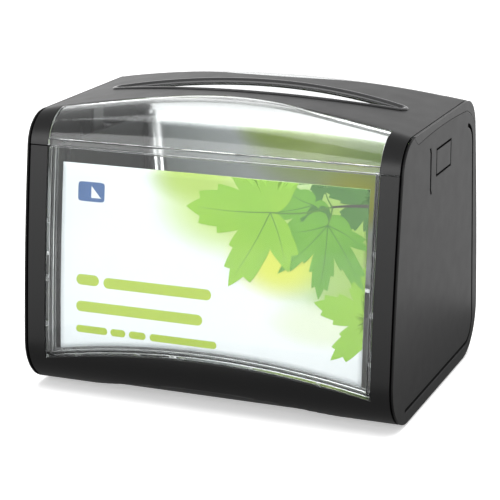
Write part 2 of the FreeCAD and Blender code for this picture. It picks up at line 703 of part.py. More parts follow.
lip_outer = lid_form("lip_outer", -size("lip_proud"), size("half_width"))
lip = common("lip", cut("lip_full", lip_outer, flange_core), lip_block)
front_visor = cut("front_visor_solid", fuse("visor_joined", pane, edge_band, lap_band, lip), below_seam)
finish(front_visor, "front_visor")
finish(copy_across("rear_visor_solid", front_visor, FRONT_BACK), "rear_visor")


# ---------------------------------------------------------------- lid catches
# A finger hangs from each side of the lid into the pod behind the release button. Its tooth passes the
# keeper on the chassis with a small clearance.
for name, side in SIDES:
    finger = block(f"finger_{name}", on_side(side, "dims.catch_inside", "dims.catch_skin"),
                   f"{on_side(side, 'dims.catch_inside', 'dims.catch_skin')} + dims.catch_skin",
                   "-8", "3", "dims.catch_low", "dims.catch_high")
    tooth_start = on_side(side, "dims.catch_inside - dims.tooth_reach", "dims.tooth_reach + 0.2")
    tooth = block(f"tooth_{name}", tooth_start, f"{tooth_start} + dims.tooth_reach + 0.2",
                  "-6", "1", "dims.catch_low", "dims.catch_low + dims.tooth_tall")
    finish(fuse(f"lid_catch_{name}_solid", finger, tooth), f"lid_catch_{name}")


# ---------------------------------------------------------------- chassis
# One moulding: a floor between the frames, an upright wall inside each pod, and tabs that the frame
# screws bite into.
chassis = doc.addObject("PartDesign::Body", "chassis_body")
floor_y = size("frame_wrap") - size("floor_fit")
floor_low, floor_high = size("foot_lift"), size("foot_lift") + size("floor_skin")
side_pad(chassis, "chassis_floor", "-dims.chassis_half", "2 * dims.chassis_half", 1,
         (-floor_y, floor_low), (floor_y, floor_low), (floor_y, floor_high), (-floor_y, floor_high))
reach, pod_top = size("pod_reach"), size("pod_top")
wall_low, shoulder_low, shoulder_high = floor_low + 0.5, size("shoulder_low"), size("shoulder_high")
wall_outline = (
    (-floor_y, wall_low), (floor_y, wall_low), (floor_y, shoulder_low), (reach, shoulder_high),
    (reach, pod_top), (-reach, pod_top), (-reach, shoulder_high), (-floor_y, shoulder_low),
)
keeper_low, keeper_high = size("keeper_low"), size("keeper_low") + size("keeper_tall")
keeper_front, keeper_back = -7.0, 2.0
tab_high = floor_high + size("tab_tall")
for name, side in SIDES:
    side_pad(chassis, f"pod_wall_{name}", "dims.pod_inside", "dims.pod_wall", side, *wall_outline)
    side_pad(chassis, f"keeper_{name}", "dims.pod_inside + dims.pod_wall - 0.2", "dims.keeper_reach", side,
             (keeper_front, keeper_low), (keeper_back, keeper_low), (keeper_back, keeper_high),
             (keeper_front, keeper_high))
    for end, way in ENDS:
        low_y, high_y = sorted((way * (floor_y - size("tab_tall")), way * size("tab_reach")))
        side_pad(chassis, f"tab_{name}_{end}", "dims.screw_x - dims.tab_width / 2", "dims.tab_width", side,
                 (low_y, floor_high), (high_y, floor_high), (high_y, tab_high), (low_y, tab_high))
doc.recompute()
recesses = fuse("foot_recesses", *[
    post(f"recess_{name}_{end}", "dims.foot_radius + 0.1", "dims.foot_lift + dims.foot_recess",
         f"{side} * dims.foot_x", f"{way} * dims.foot_y", "0")
    for name, side in SIDES for end, way in ENDS
] + [
    post(f"tab_hole_{name}_{end}", "dims.screw_radius + dims.screw_play", "20", f"{side} * dims.screw_x",
         f"{way} * dims.screw_y", "0")
    for name, side in SIDES for end, way in ENDS
])
finish(cut("chassis_solid", chassis, recesses), "chassis")

# Screws that hold the frames: a flat head in the frame and a shank in the chassis tab.
screws = []
for name, side in SIDES:
    for end, way in ENDS:
        x, y = f"{side} * dims.screw_x", f"{way} * dims.screw_y"
        shank = post(f"screw_shank_{name}_{end}", "dims.screw_radius", "dims.screw_length", x, y,
                     "dims.foot_lift + 0.4")
        head = post(f"screw_head_{name}_{end}", "dims.screw_head", "dims.head_tall", x, y,
                    "dims.foot_lift + 0.3")
        screws.append(fuse(f"screw_{name}_{end}", shank, head))
screw_group = doc.addObject("Part::Compound", "frame_screws_group")
screw_group.Links = screws
finish(screw_group, "frame_screws")

# Rubber feet, let into the floor.
for name, side in SIDES:
    for end, way in ENDS:
        foot = post(f"foot_{name}_{end}_pad", "dims.foot_radius", "dims.foot_lift + dims.foot_recess",
                    f"{side} * dims.foot_x", f"{way} * dims.foot_y", "0")
        finish(foot, f"foot_{end}_{name}")


# ---------------------------------------------------------------- napkin tray and guides
tray = doc.addObject("PartDesign::Body", "napkin_tray_body")
tray_top, tray_low = size("tray_top"), size("tray_top") - size("tray_skin")
tray_y, leg_out = size("tray_reach"), size("leg_place")
leg_in = leg_out - size("tray_skin")
side_pad(tray, "tray_channel", "-(dims.pod_inside - dims.floor_fit)",
         "2 * (dims.pod_inside - dims.floor_fit)", 1,
         (-tray_y, tray_low), (-leg_out, tray_low), (-leg_out, floor_high), (-leg_in, floor_high),
         (-leg_in, tray_low), (leg_in, tray_low), (leg_in, floor_high), (leg_out, floor_high),
         (leg_out, tray_low), (tray_y, tray_low), (tray_y, tray_top), (-tray_y, tray_top))
finish(tray, "napkin_tray")

for name, side in SIDES:
    for end, way in ENDS:
        start = on_side(side, "dims.pod_inside - dims.guide_depth", "dims.guide_depth")
        guide = block(f"guide_{name}_{end}", start, f"{start} + dims.guide_depth",
                      f"{way} * dims.guide_place - dims.guide_width / 2",
                      f"{way} * dims.guide_place + dims.guide_width / 2",
                      "dims.tray_top", "dims.pod_top - 1")
        finish(guide, f"napkin_guide_{end}_{name}")


# ---------------------------------------------------------------- release buttons
# A button fills its hole in the panel, flush with the skin. A flange behind the panel stops it, and a
# coil spring between that flange and the pod wall pushes it out.
def spring_shape(start, end):
    """Coil spring along X between two planes."""
    wire, mean = size("spring_wire"), size("spring_mean")
    pitch = (end - start - wire) / size("spring_turns")
    helix = Part.makeHelix(pitch, pitch * size("spring_turns"), mean)
    profile = Part.Wire([Part.makeCircle(wire / 2, vector(mean, 0, 0), vector(0, 1, 0))])
    coil = Part.Wire(helix.Edges).makePipeShell([profile], True, True)
    coil.rotate(vector(0, 0, 0), vector(0, 1, 0), 90)
    coil.translate(vector(start + wire / 2, size("spring_place"), size("button_height")))
    return coil


for name, side in SIDES:
    button = doc.addObject("PartDesign::Body", f"release_button_{name}_body")
    side_pad(button, f"button_cap_{name}", "dims.button_inside", "dims.half_width - dims.button_inside", side,
             *button_hole(0.0))
    side_pad(button, f"button_stop_{name}", "dims.button_inside - dims.button_flange", "dims.button_flange",
             side, *button_hole(size("button_lap")))
    finish(button, f"release_button_{name}")

    spring = doc.addObject("Part::Feature", f"button_spring_{name}_coil")
    spring_start = size("pod_inside") + size("pod_wall") + 0.05
    spring_end = size("button_inside") - size("button_flange") - 0.05
    spring.Shape = spring_shape(spring_start, spring_end)
    if side < 0:
        spring.Shape = spring.Shape.mirror(vector(0, 0, 0), LEFT_RIGHT)
    finish(spring, f"button_spring_{name}")


# ---------------------------------------------------------------- check and export
doc.recompute()
for item in doc.Objects:
    broken = [word for word in ("Invalid", "Error") if word in item.State]
    assert not broken, f"{item.Name}: {item.State}"
os.makedirs("parts", exist_ok=True)
for item in PARTS:
    shape = item.Shape
    assert not shape.isNull() and shape.isValid() and shape.Volume > 0, item.Label
    shape.exportStep(os.path.join("parts", item.Label + ".step"))
    print(f"{item.Label:28s} {shape.Volume:10.1f} mm3  {len(shape.Solids)} solid")
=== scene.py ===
import math
import bmesh
import bpy
import numpy as np
from mathutils import Matrix, Vector


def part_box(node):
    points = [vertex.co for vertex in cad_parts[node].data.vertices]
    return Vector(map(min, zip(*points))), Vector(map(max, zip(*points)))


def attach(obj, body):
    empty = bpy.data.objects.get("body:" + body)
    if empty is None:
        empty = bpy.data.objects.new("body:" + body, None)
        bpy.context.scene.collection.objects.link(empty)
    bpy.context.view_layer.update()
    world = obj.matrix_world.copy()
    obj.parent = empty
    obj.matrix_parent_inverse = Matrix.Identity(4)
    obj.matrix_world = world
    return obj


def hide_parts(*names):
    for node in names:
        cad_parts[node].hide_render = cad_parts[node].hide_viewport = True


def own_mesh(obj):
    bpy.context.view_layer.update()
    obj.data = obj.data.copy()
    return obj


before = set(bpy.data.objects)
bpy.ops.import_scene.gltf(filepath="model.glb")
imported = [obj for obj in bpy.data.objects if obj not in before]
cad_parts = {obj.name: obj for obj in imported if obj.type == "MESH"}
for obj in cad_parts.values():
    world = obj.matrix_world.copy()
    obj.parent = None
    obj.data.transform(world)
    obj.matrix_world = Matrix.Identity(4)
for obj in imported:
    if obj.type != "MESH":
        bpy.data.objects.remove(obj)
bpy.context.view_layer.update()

MM = 0.001

# ---------------------------------------------------------------- front and rear frames
# The black frames round the card windows: two arms and a bar that wraps round the bottom corner.
# Each is one moulding in satin black plastic about 2.6 mm thick, held by screws from below.
half_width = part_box("side_panel_right")[1][0]
seam_height = 130.0 * MM
seam_gap = 0.2 * MM
corner_radius = 25.0 * MM
corner_y = 50.5 * MM
corner_z = 26.2 * MM
face_radius = 1100.0 * MM
face_lean = math.radians(3.8)
face_y = corner_y - (face_radius - corner_radius) * math.cos(face_lean)
face_z = corner_z - (face_radius - corner_radius) * math.sin(face_lean)
seam_tilt = math.asin((seam_height - face_z) / face_radius)
opening_half = 88.8 * MM
opening_foot = 19.2 * MM
opening_arch = 8.6 * MM
frame_wall = 2.6 * MM
corner_lap = 0.3 * MM
frame_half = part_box("front_frame")[1][0] + corner_lap
frame_wrap = 45.2 * MM
wrap_run = corner_y - frame_wrap
corner_run = corner_radius * (math.pi / 2 + face_lean)


def face_at(height, inset=0.0):
    """Distance of the face from the middle: a circle of the face radius, less the inset."""
    return face_y + np.sqrt((face_radius - inset) ** 2 - (height - face_z) ** 2)


def arch_at(x, lift=0.0):
    """Foot of the window opening: a circular arch, low at the corners and high in the middle."""
    radius = (opening_half ** 2 + opening_arch ** 2) / (2 * opening_arch)
    crown = opening_foot + opening_arch + lift
    return crown - radius + np.sqrt(radius ** 2 - x ** 2)


def frame_run(height):
    """Distance along the frame's section up to a height: flat wrap, corner arc, then face arc."""
    corner_angle = np.arcsin(np.clip((height - corner_z) / corner_radius, -1, 1))
    on_corner = wrap_run + corner_radius * (math.pi / 2 + np.minimum(corner_angle, face_lean))
    face_angle = np.arcsin((height - face_z) / face_radius)
    return on_corner + face_radius * np.maximum(face_angle - face_lean, 0)


def frame_section(run):
    """Point (distance from the middle, height) at a run along flat wrap, corner arc and face arc."""
    low = corner_z - corner_radius
    angle = np.clip((run - wrap_run) / corner_radius, 0, math.pi / 2 + face_lean)
    slow = face_lean + np.maximum(run - wrap_run - corner_run, 0) / face_radius
    reach = np.where(run < wrap_run, frame_wrap + run, corner_y + corner_radius * np.sin(angle))
    height = np.where(run < wrap_run, low, corner_z - corner_radius * np.cos(angle))
    on_face = run > wrap_run + corner_run
    reach = np.where(on_face, face_y + face_radius * np.cos(slow), reach)
    height = np.where(on_face, face_z + face_radius * np.sin(slow), height)
    return reach, height


def grid_faces(rows, columns, first=0):
    """Quads of a grid of points numbered row by row."""
    at = first + np.arange(rows * columns).reshape(rows, columns)
    return np.stack([at[:-1, :-1], at[:-1, 1:], at[1:, 1:], at[1:, :-1]], axis=-1).reshape(-1, 4)


def join_grids(grids):
    """One list of points and one of quads from several grids."""
    points, faces, first = [], [], 0
    for grid in grids:
        rows, columns = grid.shape[:2]
        points.append(grid.reshape(-1, 3))
        faces.append(grid_faces(rows, columns, first))
        first += rows * columns
    return np.concatenate(points), np.concatenate(faces)


def make_piece(name, vertices, faces, material, smooth=True):
    """A mesh object at the origin from points and faces, its doubles merged and its faces outwards."""
    mesh = bpy.data.meshes.new(name)
    mesh.from_pydata(np.asarray(vertices, dtype=float).tolist(), [], [tuple(face) for face in faces])
    work = bmesh.new()
    work.from_mesh(mesh)
    bmesh.ops.remove_doubles(work, verts=work.verts, dist=1e-6)
    bmesh.ops.dissolve_degenerate(work, edges=work.edges, dist=1e-6)
    bmesh.ops.recalc_face_normals(work, faces=work.faces)
    work.to_mesh(mesh)
    work.free()
    mesh.shade_smooth() if smooth else mesh.shade_flat()
    mesh.materials.append(material)
    piece = bpy.data.objects.new(name, mesh)
    bpy.context.scene.collection.objects.link(piece)
    return piece


def add_wall(piece, thickness, round_edge=0.0, segments=3):
    """Give a sheet its wall inwards, and round the edges that this leaves."""
    solid = piece.modifiers.new("wall", "SOLIDIFY")
    solid.thickness, solid.offset = thickness, -1.0
    solid.use_even_offset = True
    if round_edge:
        round_edges(piece, round_edge, segments)


def round_edges(piece, width, segments=3, angle=35):
    """Round the edges sharper than an angle."""
    bevel = piece.modifiers.new("edges", "BEVEL")
    bevel.width, bevel.segments = width, segments
    bevel.limit_method, bevel.angle_limit = "ANGLE", math.radians(angle)
    bevel.use_clamp_overlap = True
    bevel.harden_normals = True


def new_material(name):
    """A material with one Principled shader; returns it, its node tree and the shader."""
    material = bpy.data.materials.new(name)
    material.use_nodes = True
    tree = material.node_tree
    return material, tree, tree.nodes["Principled BSDF"]


def noise(tree, scale, detail=3.0, roughness=0.5):
    """Noise on the piece's own coordinates; scale in waves per metre."""
    place = tree.nodes.new("ShaderNodeTexCoord")
    texture = tree.nodes.new("ShaderNodeTexNoise")
    texture.inputs["Scale"].default_value = scale
    texture.inputs["Detail"].default_value = detail
    texture.inputs["Roughness"].default_value = roughness
    tree.links.new(place.outputs["Object"], texture.inputs["Vector"])
    return texture.outputs["Fac"]


def ramp(tree, value, low, high):
    """Map 0 to 1 onto a range."""
    node = tree.nodes.new("ShaderNodeMapRange")
    node.inputs["To Min"].default_value, node.inputs["To Max"].default_value = low, high
    tree.links.new(value, node.inputs["Value"])
    return node.outputs["Result"]


def tint(tree, value, dark, light):
    """Blend two colours by a value."""
    node = tree.nodes.new("ShaderNodeMix")
    node.data_type = "RGBA"
    node.inputs["A"].default_value, node.inputs["B"].default_value = (*dark, 1), (*light, 1)
    tree.links.new(value, node.inputs["Factor"])
    return node.outputs["Result"]


def grain(tree, shader, height, strength, distance, edge=0.0):
    """Fine moulded grain as bump, over an edge rounded in shading."""
    bump = tree.nodes.new("ShaderNodeBump")
    bump.inputs["Strength"].default_value = strength
    bump.inputs["Distance"].default_value = distance
    tree.links.new(height, bump.inputs["Height"])
    if edge:
        soft = tree.nodes.new("ShaderNodeBevel")
        soft.samples = 4
        soft.inputs["Radius"].default_value = edge
        tree.links.new(soft.outputs["Normal"], bump.inputs["Normal"])
    tree.links.new(bump.outputs["Normal"], shader.inputs["Normal"])


def black_plastic(name, colour=0.008, low=0.34, high=0.44, edge=0.0, strength=0.12, groove_shade_depth=None):
    """Satin black moulded plastic: a fine spark-eroded grain, and faint clouding from the mould.

    Given a depth, whatever lies deeper than that from the outside of a side has its specular turned almost
    off: painted shade in grooves and gaps.
    """
    material, tree, shader = new_material(name)
    cloud = noise(tree, 28.0, 4.0)
    base = tint(tree, cloud, (colour * 0.85,) * 3, (colour * 1.15, colour * 1.15, colour * 1.18))
    # Painted shade: deep in a groove or gap the specular is turned almost off.
    if groove_shade_depth:
        place = tree.nodes.new("ShaderNodeTexCoord")
        axes = tree.nodes.new("ShaderNodeSeparateXYZ")
        tree.links.new(place.outputs["Object"], axes.inputs["Vector"])
        out = tree.nodes.new("ShaderNodeMath")
        out.operation = "ABSOLUTE"
        tree.links.new(axes.outputs["X"], out.inputs[0])
        near = tree.nodes.new("ShaderNodeMapRange")
        near.inputs["From Min"].default_value = half_width - groove_shade_depth
        near.inputs["From Max"].default_value = half_width - 0.1 * groove_shade_depth
        tree.links.new(out.outputs[0], near.inputs["Value"])
        tree.links.new(ramp(tree, near.outputs["Result"], 0.03, 0.5), shader.inputs["Specular IOR Level"])
    tree.links.new(base, shader.inputs["Base Color"])
    tree.links.new(ramp(tree, noise(tree, 90.0, 5.0), low, high), shader.inputs["Roughness"])
    grain(tree, shader, noise(tree, 2600.0, 2.0), strength, 0.00012, edge)
    return material


frame_black = black_plastic("frame_black")


def frame_sheet(end):
    """Outer face of a frame, end -1 in front and 1 behind, as a bar grid and two arm grids.

    The bar runs from the wrap to the arch between the arms. A shallow lens is pressed into its lower
    edge: its depth falls to nothing along a parabola over the width.
    """
    lens_half, lens_tall, lens_deep, lens_blend = 76 * MM, 9.5 * MM, 1.1 * MM, 1.2 * MM
    bar_x = opening_half * np.linspace(-1, 1, 97)
    part = np.concatenate([np.linspace(0, 0.12, 4)[:-1], np.linspace(0.12, 1, 30)])
    arm_x = np.linspace(opening_half, frame_half, 7)
    top_runs = np.linspace(frame_run(opening_foot), frame_run(seam_height - seam_gap), 40)[1:]

    def place(x, run):
        reach, height = frame_section(run)
        lens = lens_tall * (1 - (x / lens_half) ** 2)
        over = np.clip((lens - (height - corner_z + corner_radius)) / lens_blend, 0, 1)
        push = lens_deep * over * over * (3 - 2 * over) * (np.abs(x) < lens_half)
        turn = np.clip((run - wrap_run) / corner_radius, 0, math.pi / 2)
        return np.stack([x, end * (reach - push * np.sin(turn)), height + push * np.cos(turn)], axis=-1)

    bar_runs = part[:, None] * frame_run(arch_at(bar_x))[None, :]
    grids = [place(np.broadcast_to(bar_x, bar_runs.shape), bar_runs)]
    arm_runs = np.concatenate([part * frame_run(opening_foot), top_runs])
    for side in (-1, 1):
        x, run = np.meshgrid(side * arm_x, arm_runs)
        grids.append(place(x, run))
    return join_grids(grids)


for end, name in ((-1, "front"), (1, "rear")):
    frame_piece = make_piece(f"{name}_frame_shell", *frame_sheet(end), frame_black)
    add_wall(frame_piece, frame_wall, 0.6 * MM)
    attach(frame_piece, "housing")
    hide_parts(f"{name}_frame")

# ---------------------------------------------------------------- lid
# The black lid: a thin crowned shell with two side arms, open for both visors and the outlet.
# Moulded in the same satin black, and hinged at the back.
crown_height = 155.0 * MM
edge_height = 145.0 * MM
lid_wall = 2.15 * MM
outlet_length = 79.0 * MM
outlet_width = 13.5 * MM
bow_back = -29.0 * MM
bow_radius = 93.0 * MM
flank_radius = 224.0 * MM
bow_turn = math.radians(18.3)


def lid_top(x):
    """Height of the lid along its middle: a parabola from the crown down to both sides."""
    return crown_height - (crown_height - edge_height) * (x / half_width) ** 2


def lid_roll(x):
    """Radius and centre of the roll that joins the leaning face to the top at that x."""
    radius = (lid_top(x) - seam_height) / (1 - math.sin(seam_tilt))
    centre_y = face_at(seam_height) - radius * math.cos(seam_tilt)
    return radius, centre_y, seam_height - radius * math.sin(seam_tilt)


def lid_run(x, reach):
    """Run from the seam to the point of the section that far from the middle."""
    radius, centre_y, _ = lid_roll(x)
    turn = np.arccos(np.clip((reach - centre_y) / radius, -1, 1)) - seam_tilt
    whole = radius * (math.pi / 2 - seam_tilt)
    return np.where(reach > centre_y, radius * turn, whole + centre_y - reach)


def lid_point(x, run, inset, end):
    """Point of the lid form at a run from the seam: up the roll's arc, then level to the middle."""
    radius, centre_y, centre_z = lid_roll(x)
    whole = radius * (math.pi / 2 - seam_tilt)
    angle = np.minimum(seam_tilt + run / radius, math.pi / 2)
    reach = centre_y + (radius - inset) * np.cos(angle) - np.maximum(run - whole, 0)
    return np.stack([x, end * reach, centre_z + (radius - inset) * np.sin(angle)], axis=-1)


def visor_edge(x):
    """Distance of the visor's rear edge from the middle: a bow, then a flank curving the other way."""
    bow_centre = -bow_back + bow_radius
    joint = bow_radius * math.sin(bow_turn)
    flank_x = (bow_radius + flank_radius) * math.sin(bow_turn)
    flank_y = bow_centre - (bow_radius + flank_radius) * math.cos(bow_turn)
    on_bow = bow_centre - np.sqrt(bow_radius ** 2 - np.minimum(np.abs(x), joint) ** 2)
    on_flank = flank_y + np.sqrt(flank_radius ** 2 - (flank_x - np.maximum(np.abs(x), joint)) ** 2)
    return np.where(np.abs(x) < joint, on_bow, on_flank)


tip_radius = 2.0 * MM
rim_seat = 1.5 * MM
arc_length, arc_width = outlet_length - tip_radius, outlet_width - tip_radius
arc_radius = (arc_length ** 2 + arc_width ** 2) / (2 * arc_width)
arc_turn = math.asin(arc_length / arc_radius)


def lens_at(x, extra=0.0):
    """Half width of the outlet at x: a slow arc, and round each tip a small one tangent to it."""
    around = tip_radius + extra
    middle = arc_width - arc_radius
    arc_end = (arc_radius + around) * math.sin(arc_turn)
    on_arc = middle + np.sqrt((arc_radius + around) ** 2 - np.minimum(np.abs(x), arc_end) ** 2)
    past = np.clip(np.abs(x) - arc_length, -around, around)
    on_tip = np.sqrt(np.maximum(around ** 2 - past ** 2, 0))
    return np.where(np.abs(x) < arc_end, on_arc, on_tip)


def lid_sheet():
    """Outer face of the lid: a band between visor and outlet, and two arms down to the seam."""
    tip = outlet_length + rim_seat
    middle_x = tip * np.sin(np.linspace(-math.pi / 2, math.pi / 2, 121))
    outer_x = np.linspace(tip, opening_half, 7)[1:]
    band_x = np.concatenate([-outer_x[::-1], middle_x, outer_x])
    share = np.linspace(0, 1, 25)
    start = lid_run(band_x, visor_edge(band_x))
    stop = lid_run(band_x, lens_at(band_x, rim_seat))
    runs = start + share[:, None] * (stop - start)
    x = np.broadcast_to(band_x, runs.shape)
    grids = [lid_point(x, runs, 0.0, end) for end in (-1, 1)]
    arm_x = np.linspace(opening_half, frame_half, 6)
    for side in (-1, 1):
        columns = side * arm_x
        low = np.linspace(seam_gap, 1, 22)[:, None] * lid_run(columns, visor_edge(opening_half))
        edge = lid_run(columns, visor_edge(opening_half))
        high = edge + share[1:, None] * (lid_run(columns, 0.0 * columns) - edge)
        arm_runs = np.concatenate([low, high])
        arm_runs[0] = seam_gap
        for end in (-1, 1):
            grids.append(lid_point(np.broadcast_to(columns, arm_runs.shape), arm_runs, 0.0, end))
    return join_grids(grids)


lid_black = black_plastic("lid_black", low=0.30, high=0.40)
lid_shell = make_piece("lid_shell", *lid_sheet(), lid_black)
add_wall(lid_shell, lid_wall, 0.6 * MM)
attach(lid_shell, "lid")
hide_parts("top_cap")

# Skirts: the sides of the lid, whose lower edge is the parting line over the side panels.
skirt_in = frame_half + 0.1 * MM
skirt_set = 0.4 * MM
horn_share = 84 / 90
horn_set = 0.25 * MM
side_radius, side_centre, _ = lid_roll(half_width)
horn_turn = seam_tilt + (math.pi / 2 - seam_tilt) * horn_share
horn_y = side_centre + side_radius * math.cos(horn_turn) - horn_set


def circle_through(a, b, c, count):
    """Points along the circular arc from a through b to c."""
    ax, ay, bx, by, cx, cy = *a, *b, *c
    double = 2 * (ax * (by - cy) + bx * (cy - ay) + cx * (ay - by))
    squares = [px * px + py * py for px, py in (a, b, c)]
    ox = (squares[0] * (by - cy) + squares[1] * (cy - ay) + squares[2] * (ay - by)) / double
    oy = (squares[0] * (cx - bx) + squares[1] * (ax - cx) + squares[2] * (bx - ax)) / double
    angles = np.unwrap([math.atan2(py - oy, px - ox) for px, py in (a, b, c)])
    turn = np.linspace(angles[0], angles[2], count)
    radius = math.hypot(ax - ox, ay - oy)
    return np.stack([ox + radius * np.cos(turn), oy + radius * np.sin(turn)], axis=-1)


def parting_line(drop, count=24):
    """Side view of the lid's lower edge: a steep arc at the rear and a slow one over the top."""
    rear = (face_at(seam_height - 1 * MM) - drop, seam_height - 0.8 * MM - drop)
    shoulder = (46.0 * MM, 140.2 * MM - drop)
    first = circle_through(rear, (56.4 * MM, 135.4 * MM - drop), shoulder, count)
    crest, front = (2.0 * MM, 141.9 * MM - drop), (-41.0 * MM, 140.6 * MM - drop)
    second = circle_through(shoulder, crest, front, count)
    return np.concatenate([first, second[1:]])


def skirt_prism(side):
    """Closed prism of a skirt: the lid's section above, the parting line below."""
    x = side * (half_width - skirt_set)
    lower = parting_line(0.0)[::-1]
    run_front = float(lid_run(np.array(x), horn_y))
    run_middle = float(lid_run(np.array(x), 0.0))
    rear_runs = np.linspace(seam_gap, run_middle, 34)
    front_runs = np.linspace(run_middle, run_front, 16)[1:]
    over_rear = lid_point(np.full(rear_runs.shape, x), rear_runs, 0.0, 1)[:, 1:]
    over_front = lid_point(np.full(front_runs.shape, x), front_runs, 0.0, -1)[:, 1:]
    outline = np.concatenate([lower, over_rear, over_front])
    count = len(outline)
    inner = np.column_stack([np.full(count, side * skirt_in), outline])
    outer = np.column_stack([np.full(count, side * half_width), outline])
    around = [(i, (i + 1) % count, count + (i + 1) % count, count + i) for i in range(count)]
    caps = [tuple(range(count)), tuple(range(count, 2 * count))]
    return np.concatenate([inner, outer]), [*caps, *around], len(lower), count


def soften_skirt(skirt, lower_count, count):
    """Round the skirt's top edges most, its parting line less, and its two end edges hardly at all."""
    ends = np.empty(2 * len(skirt.data.edges), dtype=int)
    skirt.data.edges.foreach_get("vertices", ends)
    at = ends.reshape(-1, 2) % count
    on_top = (at >= lower_count).all(axis=1)
    on_line = (at < lower_count).all(axis=1)
    across = at[:, 0] == at[:, 1]
    weight = np.where(on_top, 1.0, np.where(on_line, 0.3, 0.15)) * np.where(across, 0.0, 1.0)
    soft = skirt.data.attributes.new("bevel_weight_edge", "FLOAT", "EDGE")
    soft.data.foreach_set("value", weight)
    round_edges(skirt, 1.2 * MM, 5)
    skirt.modifiers["edges"].limit_method = "WEIGHT"


for side, name in ((-1, "left"), (1, "right")):
    points, faces, lower_count, count = skirt_prism(side)
    skirt = make_piece(f"lid_skirt_{name}", points, faces, lid_black)
    soften_skirt(skirt, lower_count, count)
    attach(skirt, "lid")

# ---------------------------------------------------------------- outlet rim
# A polished black lip lies round the lens-shaped outlet, rolled over at its edge so that a napkin
# slides over it without tearing. It is a glossy moulding of its own, set into the lid's opening.
rim_profile = [
    (3.4, 0.02), (3.35, 0.4), (3.0, 0.7), (2.5, 0.85), (1.9, 0.85), (1.3, 0.72), (0.75, 0.4),
    (0.3, -0.2), (0.05, -0.9), (0.0, -1.6), (0.0, -2.4), (0.2, -2.8), (0.9, -2.8), (1.2, -2.4),
    (1.2, -1.4), (1.5, -0.6), (2.2, -0.1),
]


def rim_ring():
    """Carry the rim's section round the outlet: out from its edge by its first value, up by its second.

    The outlet's edge is a slow arc in front, a small arc round a tip, the same behind and the other tip.
    """
    section = np.array(rim_profile) * MM
    out = tip_radius + section[:, 0]
    slow = np.linspace(-arc_turn, arc_turn, 81)
    quick = np.linspace(arc_turn, math.pi - arc_turn, 17)[1:-1]
    slow, quick = slow[:, None], quick[:, None]
    parts = []
    for way in (-1, 1):
        arc_x = (arc_radius + out) * np.sin(slow * way * -1)
        arc_y = way * (arc_width - arc_radius + (arc_radius + out) * np.cos(slow * way * -1))
        parts += [(arc_x, arc_y), (-way * (arc_length + out * np.sin(quick)), way * out * np.cos(quick))]
    x, y = (np.concatenate(part) for part in zip(*parts))
    grid = np.stack([x, y, lid_top(x) + section[:, 1]], axis=-1)
    grid = np.concatenate([grid, grid[:1]])
    grid = np.concatenate([grid, grid[:, :1]], axis=1)
    return join_grids([grid])


# The rim's colour is set a little lighter than the other blacks: a painted sheen for the grey band along
# its rolled edge.
rim_black, tree, shader = new_material("rim_black")
tree.links.new(tint(tree, noise(tree, 40.0), (0.024, 0.024, 0.025), (0.032, 0.032, 0.033)),
               shader.inputs["Base Color"])
tree.links.new(ramp(tree, noise(tree, 160.0, 4.0), 0.15, 0.19), shader.inputs["Roughness"])
shader.inputs["Coat Weight"].default_value = 0.6
shader.inputs["Coat Roughness"].default_value = 0.04
rim = make_piece("outlet_rim_lip", *rim_ring(), rim_black)
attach(rim, "lid")
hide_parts("outlet_rim")

# ---------------------------------------------------------------- visors
# Clear curved panes in front of and behind the outlet, moulded in polished styrene, with a thick
# lower lip and a bonding flange under the lid's edge.
visor_wall = 2.15 * MM
visor_deep = 3.55 * MM
lip_tall = 3.3 * MM
lip_proud = 0.5 * MM
visor_fit = 0.2 * MM
visor_half = opening_half - visor_fit
flange_wide = 1.4 * MM


def clear_plastic(name, roughness=0.03, colour=(0.93, 0.95, 0.95)):
    """Clear styrene: a glass shader that lets lamps through, with faint flow marks in its surface."""
    material, tree, shader = new_material(name)
    shader.inputs["Transmission Weight"].default_value = 1.0
    shader.inputs["IOR"].default_value = 1.49
    shader.inputs["Base Color"].default_value = (*colour, 1)
    tree.links.new(ramp(tree, noise(tree, 60.0, 3.0), roughness * 0.5, roughness * 1.5),
                   shader.inputs["Roughness"])
    grain(tree, shader, noise(tree, 70.0, 2.0), 0.05, 0.0004)
    rays = tree.nodes.new("ShaderNodeLightPath")
    through = tree.nodes.new("ShaderNodeBsdfTransparent")
    through.inputs["Color"].default_value = (*(0.97 * c for c in colour), 1)
    mixer = tree.nodes.new("ShaderNodeMixShader")
    tree.links.new(rays.outputs["Is Shadow Ray"], mixer.inputs["Fac"])
    tree.links.new(shader.outputs["BSDF"], mixer.inputs[1])
    tree.links.new(through.outputs["BSDF"], mixer.inputs[2])
    tree.links.new(mixer.outputs["Shader"], tree.nodes["Material Output"].inputs["Surface"])
    return material


def closed_slab(outer, inner):
    """Close two grids of the same size into one solid with strips along their four borders."""
    points, faces = join_grids([outer, inner])
    rows, columns = outer.shape[:2]
    at = np.arange(rows * columns).reshape(rows, columns)
    strips = []
    for border in (at[0], at[-1], at[:, 0], at[:, -1]):
        other = border + rows * columns
        strips.append(np.stack([border[:-1], border[1:], other[1:], other[:-1]], axis=-1))
    return points, np.concatenate([faces, *strips])


def visor_slab(end):
    """Two faces of a visor: the outer one swells at the lip, the inner one at lip and flange."""
    x_line = visor_half * np.linspace(-1, 1, 125)
    share = np.concatenate([
        np.linspace(0, 0.06, 4)[:-1], np.linspace(0.06, 0.11, 6)[:-1], np.linspace(0.11, 0.9, 40)[:-1],
        np.linspace(0.9, 1, 8),
    ])
    stop = lid_run(x_line, visor_edge(x_line) + visor_fit)
    runs = seam_gap + share[:, None] * (stop - seam_gap)
    x = np.broadcast_to(x_line, runs.shape)
    lip = 1 - np.clip((runs - lip_tall) / (0.5 * MM), 0, 1)
    flange = np.clip(1 - (stop - flange_wide - runs) / (0.3 * MM), 0, 1)
    thick = np.maximum(lip, flange)
    outer = lid_point(x, runs, -lip_proud * lip, end)
    inner = lid_point(x, runs, visor_wall + (visor_deep - visor_wall) * thick, end)
    return closed_slab(outer, inner)


